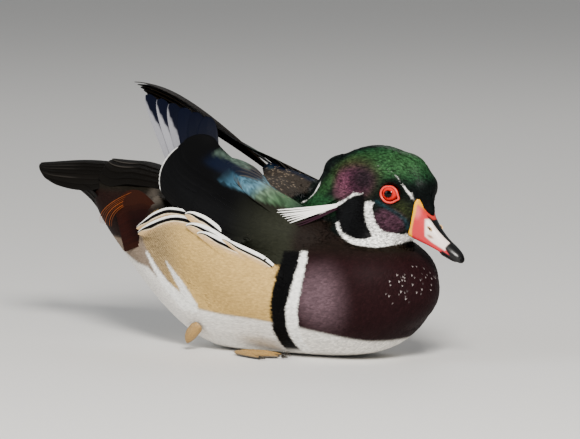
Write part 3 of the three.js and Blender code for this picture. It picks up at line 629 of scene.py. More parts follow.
def corners_of(mesh):
    """The corner points of a mesh, in millimetres."""
    return vectors_of(mesh.vertices, "co") / MM


def normals_of(mesh):
    """The way that each corner point of a mesh faces."""
    return vectors_of(mesh.vertex_normals, "vector")


def set_corners(mesh, places):
    """Moves the corner points of a mesh to places in millimetres."""
    mesh.vertices.foreach_set("co", (places * MM).astype(np.float32).ravel())
    mesh.update()


def set_smooth(mesh):
    """Shades every face of a mesh as part of a rounded surface."""
    mesh.polygons.foreach_set("use_smooth", np.ones(len(mesh.polygons), bool))


def unit(v):
    """The same directions, each with a length of one."""
    return v / np.maximum(1e-9, np.linalg.norm(v, axis=-1, keepdims=True))


def eased(mesh, rounds, pull_of):
    """Evens a mesh out, each corner drawn to its neighbours as far as pull_of(round) says."""
    places = corners_of(mesh)
    pairs = np.empty(len(mesh.edges) * 2, np.int32)
    mesh.edges.foreach_get("vertices", pairs)
    pairs = pairs.reshape(-1, 2)
    ends = np.concatenate([pairs[:, 0], pairs[:, 1]])
    others = np.concatenate([pairs[:, 1], pairs[:, 0]])
    degree = np.bincount(ends, minlength=len(places))
    for turn in range(rounds):
        middle = np.column_stack([
            np.bincount(ends, weights=places[others, k], minlength=len(places)) for k in range(3)
        ]) / degree[:, None]
        places = places + (middle - places) * np.reshape(pull_of(turn), (-1, 1))
    set_corners(mesh, places)
    return places


def head_share(p):
    """1 on the head and crest, 0 on the body, with the border below the cheeks and the nape."""
    border = np.interp(p[:, 0], [-20, 20, 50, 60, 80, 100, 125], [95, 97, 98, 93, 84, 82, 80])
    inner = ease((np.interp(p[:, 0], [48, 58], [24, 34]) - np.abs(p[:, 1])) / 3)
    return ease((p[:, 2] - border) / 2 + 0.5) * ease((p[:, 0] - 8) / 2) * inner


SMOOTH_ROUNDS = 28
HEAD_ROUNDS = 5
on_head = head_share(corners_of(skin_mesh))
skin_at = eased(skin_mesh, SMOOTH_ROUNDS,
                lambda turn: 0.5 * (1 - on_head * (turn >= HEAD_ROUNDS)))
skin_at = skin_at - normals_of(skin_mesh) * COAT_DEPTH
skin_at[:, 2] = np.maximum(skin_at[:, 2], SKIN_LOWEST)
set_corners(skin_mesh, skin_at)
set_smooth(skin_mesh)


def plumage(p):
    """Colour and fine lines at each place of the bird, head or body."""
    body = body_tint(p)
    head = head_share(p)
    upper = head > 0.01
    if upper.any():
        body[upper, :3] = lay(body[upper, :3], head_tint(p[upper]), head[upper])
        body[upper, 3] *= 1 - head[upper]
    return body


def set_tint(mesh, tint):
    """Stores a colour for each corner point, and in a fourth channel its fine lines, if any."""
    channels = np.zeros((len(tint), 4), np.float32)
    channels[:, :tint.shape[1]] = tint
    layer = mesh.color_attributes.new("tint", "FLOAT_COLOR", "POINT")
    layer.data.foreach_set("color", channels.ravel())


set_tint(skin_mesh, plumage(skin_at))


def wire(tree, node, sockets):
    """Sets each named socket of a node, or joins it to what another node gives."""
    for socket, value in sockets.items():
        if isinstance(value, bpy.types.NodeSocket):
            tree.links.new(value, node.inputs[socket])
        else:
            node.inputs[socket].default_value = value


def give(tree, kind, sockets, **settings):
    """Adds a shader node, wires it, and returns what it gives."""
    node = tree.nodes.new("ShaderNode" + kind)
    for setting, value in settings.items():
        setattr(node, setting, value)
    wire(tree, node, sockets)
    return node.outputs


def dyed(tree, shade):
    """The piece's own tints, made lighter and darker by a shade."""
    tint = give(tree, "Attribute", {}, attribute_name="tint")["Color"]
    return give(tree, "VectorMath", {0: tint, "Scale": shade}, operation="SCALE")["Vector"]


def relief(tree, height, strength, depth):
    """A fine relief, its depth in millimetres."""
    return give(tree, "Bump", {"Height": height, "Strength": strength, "Distance": depth * MM})["Normal"]


def feather_finish(name, rough, gloss, streak, stretch, turn):
    """Small feathers: their own tints, broken by streaks, and fine dark lines where a piece has them."""
    material, tree, shader = new_material(name)
    place = give(tree, "TexCoord", {})["Object"]
    turned_place = give(tree, "Mapping", {
        "Vector": place, "Scale": stretch, "Rotation": (0, math.radians(turn), 0)})["Vector"]
    barbs = give(tree, "TexNoise", {"Vector": turned_place, "Scale": 1, "Detail": 3})["Fac"]
    shade = give(tree, "MapRange", {
        "Value": barbs, "From Min": 0.3, "From Max": 0.7, "To Min": 1 - streak, "To Max": 1 + streak,
    })["Result"]
    waves = give(tree, "TexWave", {
        "Vector": place, "Scale": 330, "Distortion": 7, "Detail": 3, "Detail Scale": 1.6,
    }, wave_type="BANDS", bands_direction="DIAGONAL")["Fac"]
    strong = give(tree, "Attribute", {}, attribute_name="tint")["Alpha"]
    dark = give(tree, "Math", {0: waves, 1: strong}, operation="MULTIPLY")["Value"]
    lines = give(tree, "MapRange", {"Value": dark, "To Min": 1, "To Max": 0.45})["Result"]
    total = give(tree, "Math", {0: shade, 1: lines}, operation="MULTIPLY")["Value"]
    wire(tree, shader, {
        "Base Color": dyed(tree, total),
        "Normal": relief(tree, barbs, 0.3, 0.3),
        "Roughness": rough,
        "Specular IOR Level": gloss,
    })
    return material


body_finish = feather_finish("body_plumage", 0.6, 0.05, 0.2, (300, 1100, 1100), -25)
head_finish = feather_finish("head_plumage", 0.42, 0.06, 0.7, (260, 800, 800), -18)


def put(name, mesh, finish, slot, *nodes):
    """Sets a finished mesh on the bird in place of the solids that it stands for."""
    piece = placed(name, mesh)
    mesh.materials.clear()
    mesh.materials.append(finish)
    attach(piece, "root")
    if nodes:
        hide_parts(*nodes)


put("skin", skin_mesh, body_finish, "body_feathers", "torso", "neck", "head")

# The bill: horn, red at the sides with a yellow border at its root, white on top, a black ridge
# and a black nail at the tip. The feathers of the brow run down between its two shoulders.

BILL_DROOP = math.radians(27)
GAPE = np.array([114, 0, 95.5])
BILL_LENGTH = 44
LOWER_LENGTH = 40
BILL_ROOT = -9
UPPER_ROWS = [(44, 3.5, -1.6, 2.6), (41, 5.6, -1.2, 4.6), (34, 7.4, -0.8, 6.2), (24, 9.4, -1.4, 6.9),
              (15, 12.7, -2.2, 7.6), (7, 16.9, -3.2, 8.8), (0, 20.5, -3.6, 10.8), (-4, 26.5, -3.6, 12.2),
              (-9, 36, -3.6, 13.6)]
HORN_REAR = ((-4, -0.4), (3.7, -0.9), (9.9, -2.4), (16, -3.9), (22.3, -6.4), (27, -8), (32, -9))


def in_bill(p):
    """How far along, across and up the bill a place is."""
    d = p - GAPE
    return (
        d[:, 0] * math.cos(BILL_DROOP) - d[:, 2] * math.sin(BILL_DROOP),
        np.abs(d[:, 1]),
        d[:, 0] * math.sin(BILL_DROOP) + d[:, 2] * math.cos(BILL_DROOP),
    )


def from_bill(along, side, up):
    """The place in the bird's frame of a place in the bill's."""
    return np.array([
        GAPE[0] + along * math.cos(BILL_DROOP) + up * math.sin(BILL_DROOP),
        side,
        GAPE[2] - along * math.sin(BILL_DROOP) + up * math.cos(BILL_DROOP),
    ])


def bill_size(along, column):
    """A smooth size along the bill, from its rows: 1 its top, 2 its low edge, 3 half its width."""
    rows = np.array(UPPER_ROWS)[::-1]
    place = np.interp(along, rows[:, 0], np.linspace(0, 1, len(rows)))
    return spline(rows, place)[..., column]


def bill_power(along, upper):
    """How square the bill's section is: round above at the tip, square above at the root."""
    return np.where(upper, np.interp(along, [-9, 0, 6, 14, 30], [5, 4, 2.4, 2.1, 1.9]), 4)


def horn_form(steps, section):
    """A closed horn: a ball drawn out along the bill, its section given by a function."""
    form = bmesh.new()
    bmesh.ops.create_uvsphere(form, u_segments=steps[0], v_segments=steps[1], radius=1)
    for v in form.verts:
        t = math.acos(max(-1, min(1, v.co.z))) / math.pi
        angle = math.atan2(v.co.y, v.co.x)
        v.co = from_bill(*section(t, angle, math.hypot(v.co.x, v.co.y) < 1e-5)) * MM
    bmesh.ops.recalc_face_normals(form, faces=form.faces)
    return form


def upper_section(t, angle, pole):
    """The upper bill at t from its tip to its root: squarer and higher to the rear, cut off slanting."""
    along = blend(BILL_LENGTH, BILL_ROOT, blend(t, (1 - math.cos(math.pi * t)) / 2, 0.5))
    end = 0 if pole else max(0, 1 - abs(2 * t - 1) ** 9) ** 0.5
    top, low, half = (float(bill_size(along, k)) for k in (1, 2, 3))
    mid = blend(low, top, 0.3)
    c, s = math.cos(angle), math.sin(angle)
    power = float(bill_power(along, s > 0))
    reach = end * (abs(c) ** power + abs(s) ** power) ** (-1 / power)
    height = top - mid if s > 0 else mid - low
    up = mid + s * reach * height
    rear = float(np.interp(up, *np.array(HORN_REAR).T))
    half -= 2.6 * float(ease((rear - along) / 2.5))
    return along, c * reach * half, up


def lower_section(t, angle, pole):
    """The lower bill: a flat bar under the upper one's edge, a little narrower than it."""
    along = blend(LOWER_LENGTH, BILL_ROOT, t)
    end = 0 if pole else max(0, 1 - abs(2 * t - 1) ** 8) ** 0.5
    mid = float(bill_size(along, 2)) + blend(1.4, -0.6, float(ease((along - 23) / 6)))
    half = float(bill_size(along, 3)) * 0.8
    return along, math.cos(angle) * half * end, mid + math.sin(angle) * 1.7 * end


def in_horn(p):
    """Under 1 inside the upper bill, 1 on its surface, more outside."""
    along, across, up = in_bill(p)
    top, low, half = (bill_size(along, k) for k in (1, 2, 3))
    mid = blend(low, top, 0.3)
    power = bill_power(along, up > mid)
    height = np.where(up > mid, top - mid, mid - low)
    far = (np.abs(across / half) ** power + np.abs((up - mid) / height) ** power) ** (1 / power)
    return np.where((along < BILL_ROOT) | (along > BILL_LENGTH), 9, far)


REAR_BORDER = [(119.4, 123), (118.6, 118.2), (117.8, 111.5), (115.9, 105.6), (114.2, 99.5),
               (113.6, 94)]
BROW_BORDER = [(119.4, 123), (122.5, 117.5), (124.2, 111.2), (129, 106.2)]
WHITE_PATCH = [(5, 14.6), (11.1, 3.9), (17.9, 2.7), (29.9, 2.7), (31.5, 6), (29, 8.6), (19.6, 12),
               (10, 17)]
HORN_RED = (0.5, 0.018, 0.028)
HORN_HIGHLIGHT_PINK = (0.75, 0.15, 0.15)
HORN_PALE = (0.86, 0.72, 0.66)
NOSTRIL_TAN = (0.3, 0.17, 0.12)
ROOT_YELLOW = (0.78, 0.36, 0.0)
ROOT_BRIGHT = (0.82, 0.42, 0.0)
BROW_YELLOW = (0.78, 0.34, 0.0)
BROW_RED = (0.5, 0.03, 0.02)
NAIL_BLACK = (0.0022, 0.002, 0.0022)
LOWER_BROWN = (0.012, 0.008, 0.008)
RIM_TAN = (0.6, 0.4, 0.2)
NOSTRIL_SHADE = (0.006, 0.003, 0.003)
NOSTRIL_OUT = 7.0


def bill_tint(p):
    """Red horn with a yellow root border, a pale patch at the side, and a black ridge and nail."""
    along, across, up = in_bill(p)
    own = np.column_stack([along, up])
    top = bill_size(along, 1)
    wide = np.interp(along, [2, 4, 10, 20, 28], [0, 5.4, 4.0, 2.8, 2.0])
    ridge = edged(wide - across, 0.6) * ease((up - top * 0.62) / 1) * ease((along - 3) / 1)
    root, _ = near_line(p[:, [0, 2]], REAR_BORDER)
    brow, way = near_line(p[:, [0, 2]], BROW_BORDER)
    brow_half = blend(2.6, 0.5, ease(way / 0.6))
    brow_colour = blend(np.array(BROW_YELLOW), np.array(BROW_RED), ease((way[:, None] - 0.35) / 0.3))
    return painted(
        HORN_RED, p,
        # Painted highlight: a pinkish pool of light on the red side, below the root.
        (HORN_HIGHLIGHT_PINK, patch(p, (120, 112), (2.5, 5), 0.6) * 0.6),
        (HORN_PALE, inside(own, WHITE_PATCH, 0.8)),
        (NOSTRIL_TAN, patch(np.column_stack([along, up, up]), (14.5, 5.6), (2.6, 1), 0.6)),
        (JET, ridge),
        (ROOT_YELLOW, edged(1.8 - root, 1)),
        (ROOT_BRIGHT, patch(p, (119.6, 121), (3.4, 3.6), 0.5)),
        (brow_colour, edged(brow_half - brow, 0.8) * (across < 11)),
        (NAIL_BLACK, edged(along - 29 - 2.2 * np.maximum(0, 4.1 - up), 0.8)),
        (NAIL_BLACK, ease((along - 26.5) / 2) * ease((1.9 - up) / 0.8)),
    )


def horn_finish(name, gloss, shine):
    """Smooth horn in its own tints, with a faint grain under a soft gloss."""
    material, tree, shader = new_material(name)
    place = give(tree, "TexCoord", {})["Object"]
    grain = give(tree, "TexNoise", {"Vector": place, "Scale": 500})["Fac"]
    wire(tree, shader, {
        "Base Color": give(tree, "Attribute", {}, attribute_name="tint")["Color"],
        "Normal": relief(tree, grain, 0.15, 0.3),
        "Roughness": 0.35,
        "Specular IOR Level": shine,
        "Coat Weight": gloss,
        "Coat Roughness": 0.2,
    })
    return material


bill_finish = horn_finish("bill_horn", 0.2, 0.3)
nail_finish = horn_finish("nail_horn", 0, 0.1)


def put_form(name, form, finish, slot, *nodes, tint_of=None):
    """Sets a smooth form on the bird; tint_of gives the colour of each of its places."""
    mesh = mesh_of(name, form)
    if tint_of:
        set_tint(mesh, tint_of(corners_of(mesh)))
    set_smooth(mesh)
    put(name, mesh, finish, slot, *nodes)


def plain(colour):
    """A tint that is the same all over."""
    return lambda p: np.tile(colour, (len(p), 1))


def ring_form(rod, reach, segments, steps):
    """A round rod bent into a closed ring that lies flat."""
    form = bmesh.new()
    start = Matrix.Translation((reach * MM, 0, 0)) @ Matrix.Rotation(math.pi / 2, 4, "X")
    bmesh.ops.create_circle(form, segments=segments, radius=rod * MM, matrix=start)
    bmesh.ops.spin(form, geom=form.verts[:] + form.edges[:], cent=(0, 0, 0), axis=(0, 0, 1),
                   angle=2 * math.pi, steps=steps, use_merge=True)
    return form


put_form("bill_upper_horn", horn_form((96, 90), upper_section), bill_finish, "bill", "bill_upper",
         tint_of=bill_tint)
put_form("bill_lower_horn", horn_form((48, 40), lower_section), bill_finish, "bill", "bill_lower",
         tint_of=plain(LOWER_BROWN))
nail = oval_form(from_bill(39.6, 0, 1.7), (4.9, 3.3, 3.3), 34, (40, 24))
put_form("bill_nail", nail, nail_finish, "bill", tint_of=plain(NAIL_BLACK))
nostril_x, _, nostril_z = from_bill(11.5, 0, 10.4)
for name, side in SIDES:
    turn = Matrix.Translation(Vector((nostril_x, NOSTRIL_OUT * side, nostril_z)) * MM)
    turn = turn @ Matrix.Rotation(BILL_DROOP, 4, "Y")
    turn = turn @ Matrix.Rotation(-0.35 * side, 4, "X") @ Matrix.Rotation(math.pi / 2, 4, "X")
    rim = ring_form(0.45, 1.3, 10, 28)
    bmesh.ops.transform(rim, matrix=turn @ Matrix.Diagonal((1.5, 1, 1, 1)), verts=rim.verts)
    bmesh.ops.recalc_face_normals(rim, faces=rim.faces)
    put_form("nostril_rim_" + name, rim, bill_finish, "bill", tint_of=plain(RIM_TAN))
    # The nostril's opening: a flat black oval, painted shade in the hole.
    hole = bmesh.new()
    bmesh.ops.create_uvsphere(hole, u_segments=20, v_segments=12, radius=1,
                              matrix=turn @ Matrix.Diagonal((1.8 * MM, 1.2 * MM, 0.35 * MM, 1)))
    put_form("nostril_" + name, hole, bill_finish, "bill", tint_of=plain(NOSTRIL_SHADE))

# The eyes: wet red balls with a round black pupil, each in a raised ring of bare red skin that
# runs to a point below in front.

EYE_BALL = (5.9, 5.6, 5.3)
EYE_SUNK = 3.0
PUPIL_WIDE = 1.15
PUPIL_AHEAD = 0.9
IRIS_REACH = 6
IRIS = ((0.0, (0.0, 0.0, 0.0)), (0.42, (0.0, 0.0, 0.0)), (0.46, (0.25, 0.006, 0.003)),
        (0.6, (0.62, 0.014, 0.01)), (0.9, (0.5, 0.01, 0.006)))
LID_ROD = 0.85
LID_REACH = (7.4, 6.3, 5.2, 5.8, 6.5, 6.3, 6.3, 7.2, 7.4)
LID_CORNER = 1.7
LID_CORNER_AT = 338
LID_CORNER_SPREAD = 13
LID_SUNK = 0.4
LID_TURN = 0.08
LID_SKIN = ((0, (0.5, 0.015, 0.01)), (1, (0.72, 0.05, 0.035)))
RING_REACH = 10


def graded(tree, share, stops):
    """Colours that go from stop to stop as the share grows."""
    node = tree.nodes.new("ShaderNodeValToRGB")
    wire(tree, node, {"Fac": share})
    elements = node.color_ramp.elements
    while len(elements) < len(stops):
        elements.new(0.5)
    for element, (where, colour) in zip(elements, stops):
        element.position = where
        element.color = (*colour, 1)
    return node.outputs["Color"]


def eye_finish():
    """A wet eye: a black pupil in a red iris, both round in side view."""
    material, tree, shader = new_material("eye_wet")
    place = give(tree, "TexCoord", {})["Object"]
    middle = ((EYE_AT[0] + PUPIL_AHEAD) * MM, 0, EYE_AT[2] * MM)
    off = give(tree, "VectorMath", {0: place, 1: middle}, operation="SUBTRACT")["Vector"]
    in_mm = (1 / MM / PUPIL_WIDE, 0, 1 / MM)
    flat = give(tree, "VectorMath", {0: off, 1: in_mm}, operation="MULTIPLY")["Vector"]
    far = give(tree, "VectorMath", {0: flat}, operation="LENGTH")["Value"]
    share = give(tree, "Math", {0: far, 1: IRIS_REACH}, operation="DIVIDE")["Value"]
    wire(tree, shader, {
        "Base Color": graded(tree, share, IRIS),
        "Roughness": 0.4,
        "Specular IOR Level": 0,
        "Coat Weight": 0.3,
        "Coat Roughness": 0.02,
    })
    return material


def ring_finish():
    """Bare red skin with fine folds."""
    material, tree, shader = new_material("eye_ring_skin")
    place = give(tree, "TexCoord", {})["Object"]
    fold = give(tree, "TexNoise", {"Vector": place, "Scale": 900})["Fac"]
    wire(tree, shader, {
        "Base Color": graded(tree, fold, LID_SKIN),
        "Normal": relief(tree, fold, 0.3, 0.2),
        "Roughness": 0.35,
    })
    return material


def lid_reach(angle):
    """How far the lid stands from the middle of the eye, by the angle in side view."""
    return np.interp(angle % 360, np.arange(9) * 45, LID_REACH)


eye_look = eye_finish()
ring_look = ring_finish()
for name, side in SIDES:
    ball = oval_form((EYE_AT[0], (EYE_AT[1] - EYE_SUNK) * side, EYE_AT[2]), EYE_BALL, 0, (64, 36))
    put_form("eyeball_" + name, ball, eye_look, "eye", "eye_" + name)
    ring = ring_form(LID_ROD, RING_REACH, 12, 64)
    bmesh.ops.remove_doubles(ring, verts=ring.verts, dist=1e-7)
    for v in ring.verts:
        turn = math.atan2(v.co.y, v.co.x)
        angle = math.degrees(turn) % 360
        corner = LID_CORNER * math.exp(-((angle - LID_CORNER_AT) / LID_CORNER_SPREAD) ** 2)
        off = math.hypot(v.co.x, v.co.y) / MM - RING_REACH
        far = float(lid_reach(angle)) + corner + off
        ahead = far * math.cos(turn)
        out = EYE_AT[1] - LID_SUNK - LID_TURN * ahead + v.co.z / MM
        v.co = Vector((EYE_AT[0] + ahead, out * side, EYE_AT[2] + far * math.sin(turn))) * MM
    bmesh.ops.recalc_face_normals(ring, faces=ring.faces)
    put_form("eyelid_" + name, ring, ring_look, "eye_ring", "eye_ring_" + name)

# The small feathers that cover head and body: flat leaves a few millimetres long that lie back
# along the bird, overlap like tiles and stand a little off the skin at their tips.


def pattern_of(form, third):
    """Each corner of a form as (across, along, third), and the corners of each face."""
    form.verts.index_update()
    grid = np.array([(v.co.x, (v.co.y + 1) / 2, third(v)) for v in form.verts])
    faces = np.array([[v.index for v in face.verts] for face in form.faces])
    form.free()
    return grid, faces


def leaf_form(cells):
    """One small feather, crowned above and keeled below: (across, along, keel) and its triangles."""
    form = bmesh.new()
    bmesh.ops.create_grid(form, x_segments=cells[0], y_segments=cells[1], size=1)
    upper = set(form.verts)
    for v in upper:
        v.co.z = 1 - max(abs(v.co.x), abs(v.co.y))
    rim = [edge for edge in form.edges if edge.is_boundary]
    under = bmesh.ops.contextual_create(form, geom=rim)["faces"]
    keel = bmesh.ops.poke(form, faces=under)["verts"]
    bmesh.ops.translate(form, verts=keel, vec=(0, 0, -1))
    bmesh.ops.triangulate(form, faces=form.faces[:])
    bmesh.ops.recalc_face_normals(form, faces=form.faces)
    return pattern_of(form, lambda v: 0 if v in upper else 1)


LEAF = leaf_form((2, 4))
HAIR = leaf_form((2, 3))
tree_of_skin = BVHTree.FromPolygons(
    [Vector(c) for c in skin_at], [tuple(f.vertices) for f in skin_mesh.polygons]
)
triangle_at = np.array([tuple(f.vertices) for f in skin_mesh.polygons])
skin_normal = normals_of(skin_mesh)


def scatter(keep, gap, seed):
    """Places on the skin, no two nearer than the gap, where keep says so for a triangle."""
    rng = np.random.default_rng(seed)
    a, b, c = (skin_at[triangle_at[:, k]] for k in range(3))
    area = np.linalg.norm(np.cross(b - a, c - a), axis=1) / 2 * keep
    tries = int(area.sum() / gap ** 2 * 3)
    chosen = rng.choice(len(area), tries, p=area / area.sum())
    u, v = rng.random(tries), rng.random(tries)
    over = u + v > 1
    u[over], v[over] = 1 - u[over], 1 - v[over]
    shares = np.column_stack([1 - u - v, u, v])[:, :, None]
    spots = (skin_at[triangle_at[chosen]] * shares).sum(1)
    facing = (skin_normal[triangle_at[chosen]] * shares).sum(1)
    cells = np.floor(spots / gap).astype(int)
    taken = {}
    kept = []
    near = [(i, j, k) for i in (-1, 0, 1) for j in (-1, 0, 1) for k in (-1, 0, 1)]
    for n, ((i, j, k), spot) in enumerate(zip(cells.tolist(), spots.tolist())):
        around = (other for di, dj, dk in near for other in taken.get((i + di, j + dj, k + dk), ()))
        if all(math.dist(spot, other) >= gap for other in around):
            taken.setdefault((i, j, k), []).append(spot)
            kept.append(n)
    return spots[kept], unit(facing[kept])


def lie_of(p, facing):
    """The way that the small feathers point: back over the crown, back and down elsewhere."""
    head = head_share(p)
    x, z = p[:, 0], p[:, 2]
    down = np.full(len(p), -0.15)
    down = down - 1.3 * ease((x - 55) / 60) * (1 - head)
    down = blend(down, -0.35 - 0.25 * ease((118 - z) / 14), head)
    brow = head * ease((x - 98) / 14) * ease((z - 116) / 8)
    down = blend(down, 0.9, brow)
    down = blend(down, -0.62, head * ease((70 - x) / 20))
    way = np.column_stack([-np.ones(len(p)), np.zeros(len(p)), down])
    way = way - facing * (way * facing).sum(1, keepdims=True)
    return unit(way)


def wrap_of(p):
    """Where each place falls on a flat wrap of the skin: once round the body, once round the head."""
    head = head_share(p) > 0.5
    body_turn = np.arctan2(p[:, 1], p[:, 2] - 62) / (2 * math.pi) + 0.5
    head_turn = np.arctan2(p[:, 1], p[:, 2] - 118) / (2 * math.pi) + 0.5
    u = np.where(head, 0.02 + 0.3 * (130 - p[:, 0]) / 150, 0.36 + 0.6 * (126 - p[:, 0]) / 320)
    v = 0.03 + 0.94 * np.where(head, head_turn, body_turn)
    return np.column_stack([u, v])


def set_map(mesh, name, places):
    """Stores a flat map on a mesh, one place for each corner point."""
    loops = np.empty(len(mesh.loops), np.int32)
    mesh.loops.foreach_get("vertex_index", loops)
    layer = mesh.uv_layers.new(name=name)
    layer.data.foreach_set("uv", places[loops].astype(np.float32).ravel())


BAKE_PATCH = 0.003
STRAY = 0.1
SHORTEST = 0.6
MOST_BENT = 0.3
ROOT_SUNK = 0.35
CROWN = 0.05
KEEL = 1.0
LOWEST = 0.15


def coat(name, part, seeds, finish, slot, gap, length, width, raised, form=LEAF, uneven=0.07,
         shaded=(0.92, 1.06), nodes=(), mark=None):
    """One piece of small feathers over a part of the skin, each laid along it from root to tip."""
    grid, cells = form
    spots, facing = scatter(part, gap, seeds[0])
    rng = np.random.default_rng(seeds[1])
    count = len(spots)
    way = lie_of(spots, facing)
    side = np.cross(way, facing)
    way = unit(way + side * rng.normal(0, STRAY, (count, 1)))
    side = np.cross(way, facing)
    long = length * rng.uniform(0.8, 1.2, count)
    wide = width * rng.uniform(0.85, 1.15, count)
    # Three places down each feather on the skin: its root, its middle and its tip
    stations = [spots]
    normals = [facing]
    for share in (0.5, 1.0):
        reach = spots + way * (long * share)[:, None]
        found = [tree_of_skin.find_nearest(Vector(q)) for q in reach.tolist()]
        stations.append(np.array([f[0] for f in found]))
        normals.append(np.array([f[1] for f in found]))
    # A feather that would fold over an edge, or whose tip finds no skin ahead, is left out
    bent = (normals[0] * normals[2]).sum(1)
    lost = np.linalg.norm(stations[2] - spots, axis=1) < SHORTEST * long
    keep = (bent > MOST_BENT) & ~lost
    spots, way, side, long, wide = spots[keep], way[keep], side[keep], long[keep], wide[keep]
    stations = [station[keep] for station in stations]
    normals = [normal[keep] for normal in normals]
    count = len(spots)
    tip_way = way - normals[2] * (way * normals[2]).sum(1, keepdims=True)
    tip_side = unit(np.cross(tip_way, normals[2]))
    # Each leaf is bent to its three places, rounded at the tip and lifted off the skin
    u, v = grid[:, 0][None, :, None], grid[:, 1][None, :, None]
    side = unit(blend(side[:, None, :], tip_side[:, None, :], v))
    weights = ((1 - v) * (1 - 2 * v), 4 * v * (1 - v), v * (2 * v - 1))
    line = sum(w * s[:, None, :] for w, s in zip(weights, stations))
    up = unit(blend(normals[0][:, None, :], normals[2][:, None, :], v))
    tip = np.sqrt(np.clip(1 - (np.maximum(0, v - 0.45) / 0.58) ** 2, 0, 1))
    half = blend(0.55, 1, ease(v / 0.4)) * tip * wide[:, None, None] / 2
    back = -0.1 * np.abs(u) * long[:, None, None] * ease((v - 0.6) / 0.4)
    lift = blend(-ROOT_SUNK, raised, v ** 0.8) + CROWN * width * (1 - u * u) * (1 - 0.6 * v)
    lift = lift * rng.uniform(0.75, 1.25, (count, 1, 1)) - KEEL * grid[:, 2][None, :, None]
    places = line + side * u * half + way[:, None, :] * back + up * lift
    faces = cells[None] + (np.arange(count) * len(grid))[:, None, None]
    flat = places.reshape(-1, 3)
    flat[:, 2] = np.maximum(flat[:, 2], LOWEST)
    mesh = bpy.data.meshes.new(name)
    mesh.from_pydata((flat * MM).tolist(), [], faces.reshape(-1, 3).tolist())
    set_smooth(mesh)
    tint = plumage(flat)
    shade = rng.uniform(1 - uneven, 1 + uneven, (count, 1)) * blend(*shaded, grid[:, 1])[None]
    tint[:, :3] *= shade.reshape(-1, 1)
    if mark is not None:
        mark(tint.reshape(count, -1, 4), spots, rng, grid)
    set_tint(mesh, tint)
    local = (grid[:, :2] - (0, 0.5)) * (BAKE_PATCH / 2, BAKE_PATCH)
    set_map(mesh, "OFBake", (wrap_of(spots)[:, None, :] + local[None]).reshape(-1, 2))
    soft = up + side * u * 0.22 + way[:, None, :] * 0.1 * (v - 0.5)
    mesh.normals_split_custom_set_from_vertices(unit(soft).reshape(-1, 3).tolist())
    put(name, mesh, finish, slot, *nodes)


HORN_MARGIN = 1.05


def bare(p):
    """True where no feather grows: round the eyes and under the root of the bill."""
    off = mirrored(p) - EYE_AT
    reach = lid_reach(np.degrees(np.arctan2(off[:, 2], off[:, 0])))
    eye = (np.linalg.norm(off, axis=1) < reach + 0.3) & (off[:, 1] > -6)
    along, _, up = in_bill(p)
    horn = (in_horn(p) < HORN_MARGIN) & (along > np.interp(up, *np.array(HORN_REAR).T) - 0.6)
    return eye | horn


middle_of = skin_at[triangle_at].mean(1)
out_of = np.abs(middle_of[:, 1])
head_part = head_share(middle_of) > 0.5
bare_part = bare(middle_of)
flank_high = along_x(FLANK_TOP, middle_of[:, 0])
flank_part = ~head_part & (out_of > 24) & (middle_of[:, 0] < 30) & (middle_of[:, 2] > 6)
flank_part &= (middle_of[:, 2] < flank_high) & (middle_of[:, 0] > -108)
arm_part = ~head_part & ~flank_part & (out_of > 14) & (middle_of[:, 2] > flank_high - 1)
arm_part &= (middle_of[:, 0] > -90) & (middle_of[:, 0] < 52)
front_part = ~head_part & ~flank_part & ~arm_part & (middle_of[:, 0] > 20)
back_part = ~head_part & ~flank_part & ~front_part & ~arm_part

SPOT_WHITE = (0.8, 0.7, 0.68)
SPOT_TAN = (0.2, 0.155, 0.11)


def breast_marks(tint, spots, rng, grid):
    """A few very small white tips on the front of the breast."""
    near = patch(spots, (118, 64), (7, 12), 0.5)
    tip = (grid[:, 1] > 0.9) & (np.abs(grid[:, 0]) < 0.1)
    bright = np.where(rng.random(len(spots)) < near * 0.3, rng.uniform(0.05, 0.7, len(spots)), 0)
    white = (bright > 0)[:, None] & tip[None]
    tint[white, :3] = np.array(SPOT_WHITE) * bright[np.nonzero(white)[0], None]


def mantle_marks(tint, spots, rng, grid):
    """Tan tips on the brown feathers between the wings."""
    near = ease((spots[:, 0] + 50) / 8) * ease((26 - spots[:, 0]) / 8)
    near = near * ease((34 - np.abs(spots[:, 1])) / 6) * ease((spots[:, 2] - 104) / 6)
    tan = (rng.random(len(spots)) < near * 0.4)[:, None] & (grid[:, 1] > 0.9)[None]
    tint[tan, :3] = SPOT_TAN


HEAD_HAIRS = {"gap": 0.95, "length": 4.4, "width": 1.5, "raised": 0.35, "form": HAIR, "uneven": 0.4,
              "shaded": (0.5, 1.25)}
FLANK_LEAVES = {"gap": 1.7, "length": 8, "width": 3.0, "raised": 0.1}
SHOULDER_LEAVES = {"gap": 1.9, "length": 8, "width": 3.2, "raised": 0.18}
BREAST_LEAVES = {"gap": 1.6, "length": 7, "width": 2.6, "raised": 0.15, "uneven": 0.2,
                 "shaded": (0.8, 1.15)}
BACK_LEAVES = {"gap": 2.1, "length": 8.5, "width": 3.6, "raised": 0.3}

for number, (name, side) in enumerate(SIDES):
    on_side = middle_of[:, 1] * side > 0
    coat("head_coat_" + name, head_part & ~bare_part & on_side, (11 + number, 61 + number),
         head_finish, "head_feathers", **HEAD_HAIRS)
    coat("flank_coat_" + name, flank_part & on_side, (41 + number, 51 + number),
         body_finish, "flank_feathers", **FLANK_LEAVES, nodes=["flank_" + name])
    coat("shoulder_coat_" + name, arm_part & on_side, (71 + number, 81 + number),
         body_finish, "wing_feathers", **SHOULDER_LEAVES, mark=mantle_marks)
coat("breast_coat", front_part, (21, 22), body_finish, "body_feathers", **BREAST_LEAVES, mark=breast_marks)
coat("back_coat", back_part, (31, 32), body_finish, "body_feathers", **BACK_LEAVES, mark=mantle_marks)

# The long feathers: closed blades with a raised shaft, narrow at the quill and rounded at the
# tip, laid in tiers on their sheets, each over the next.


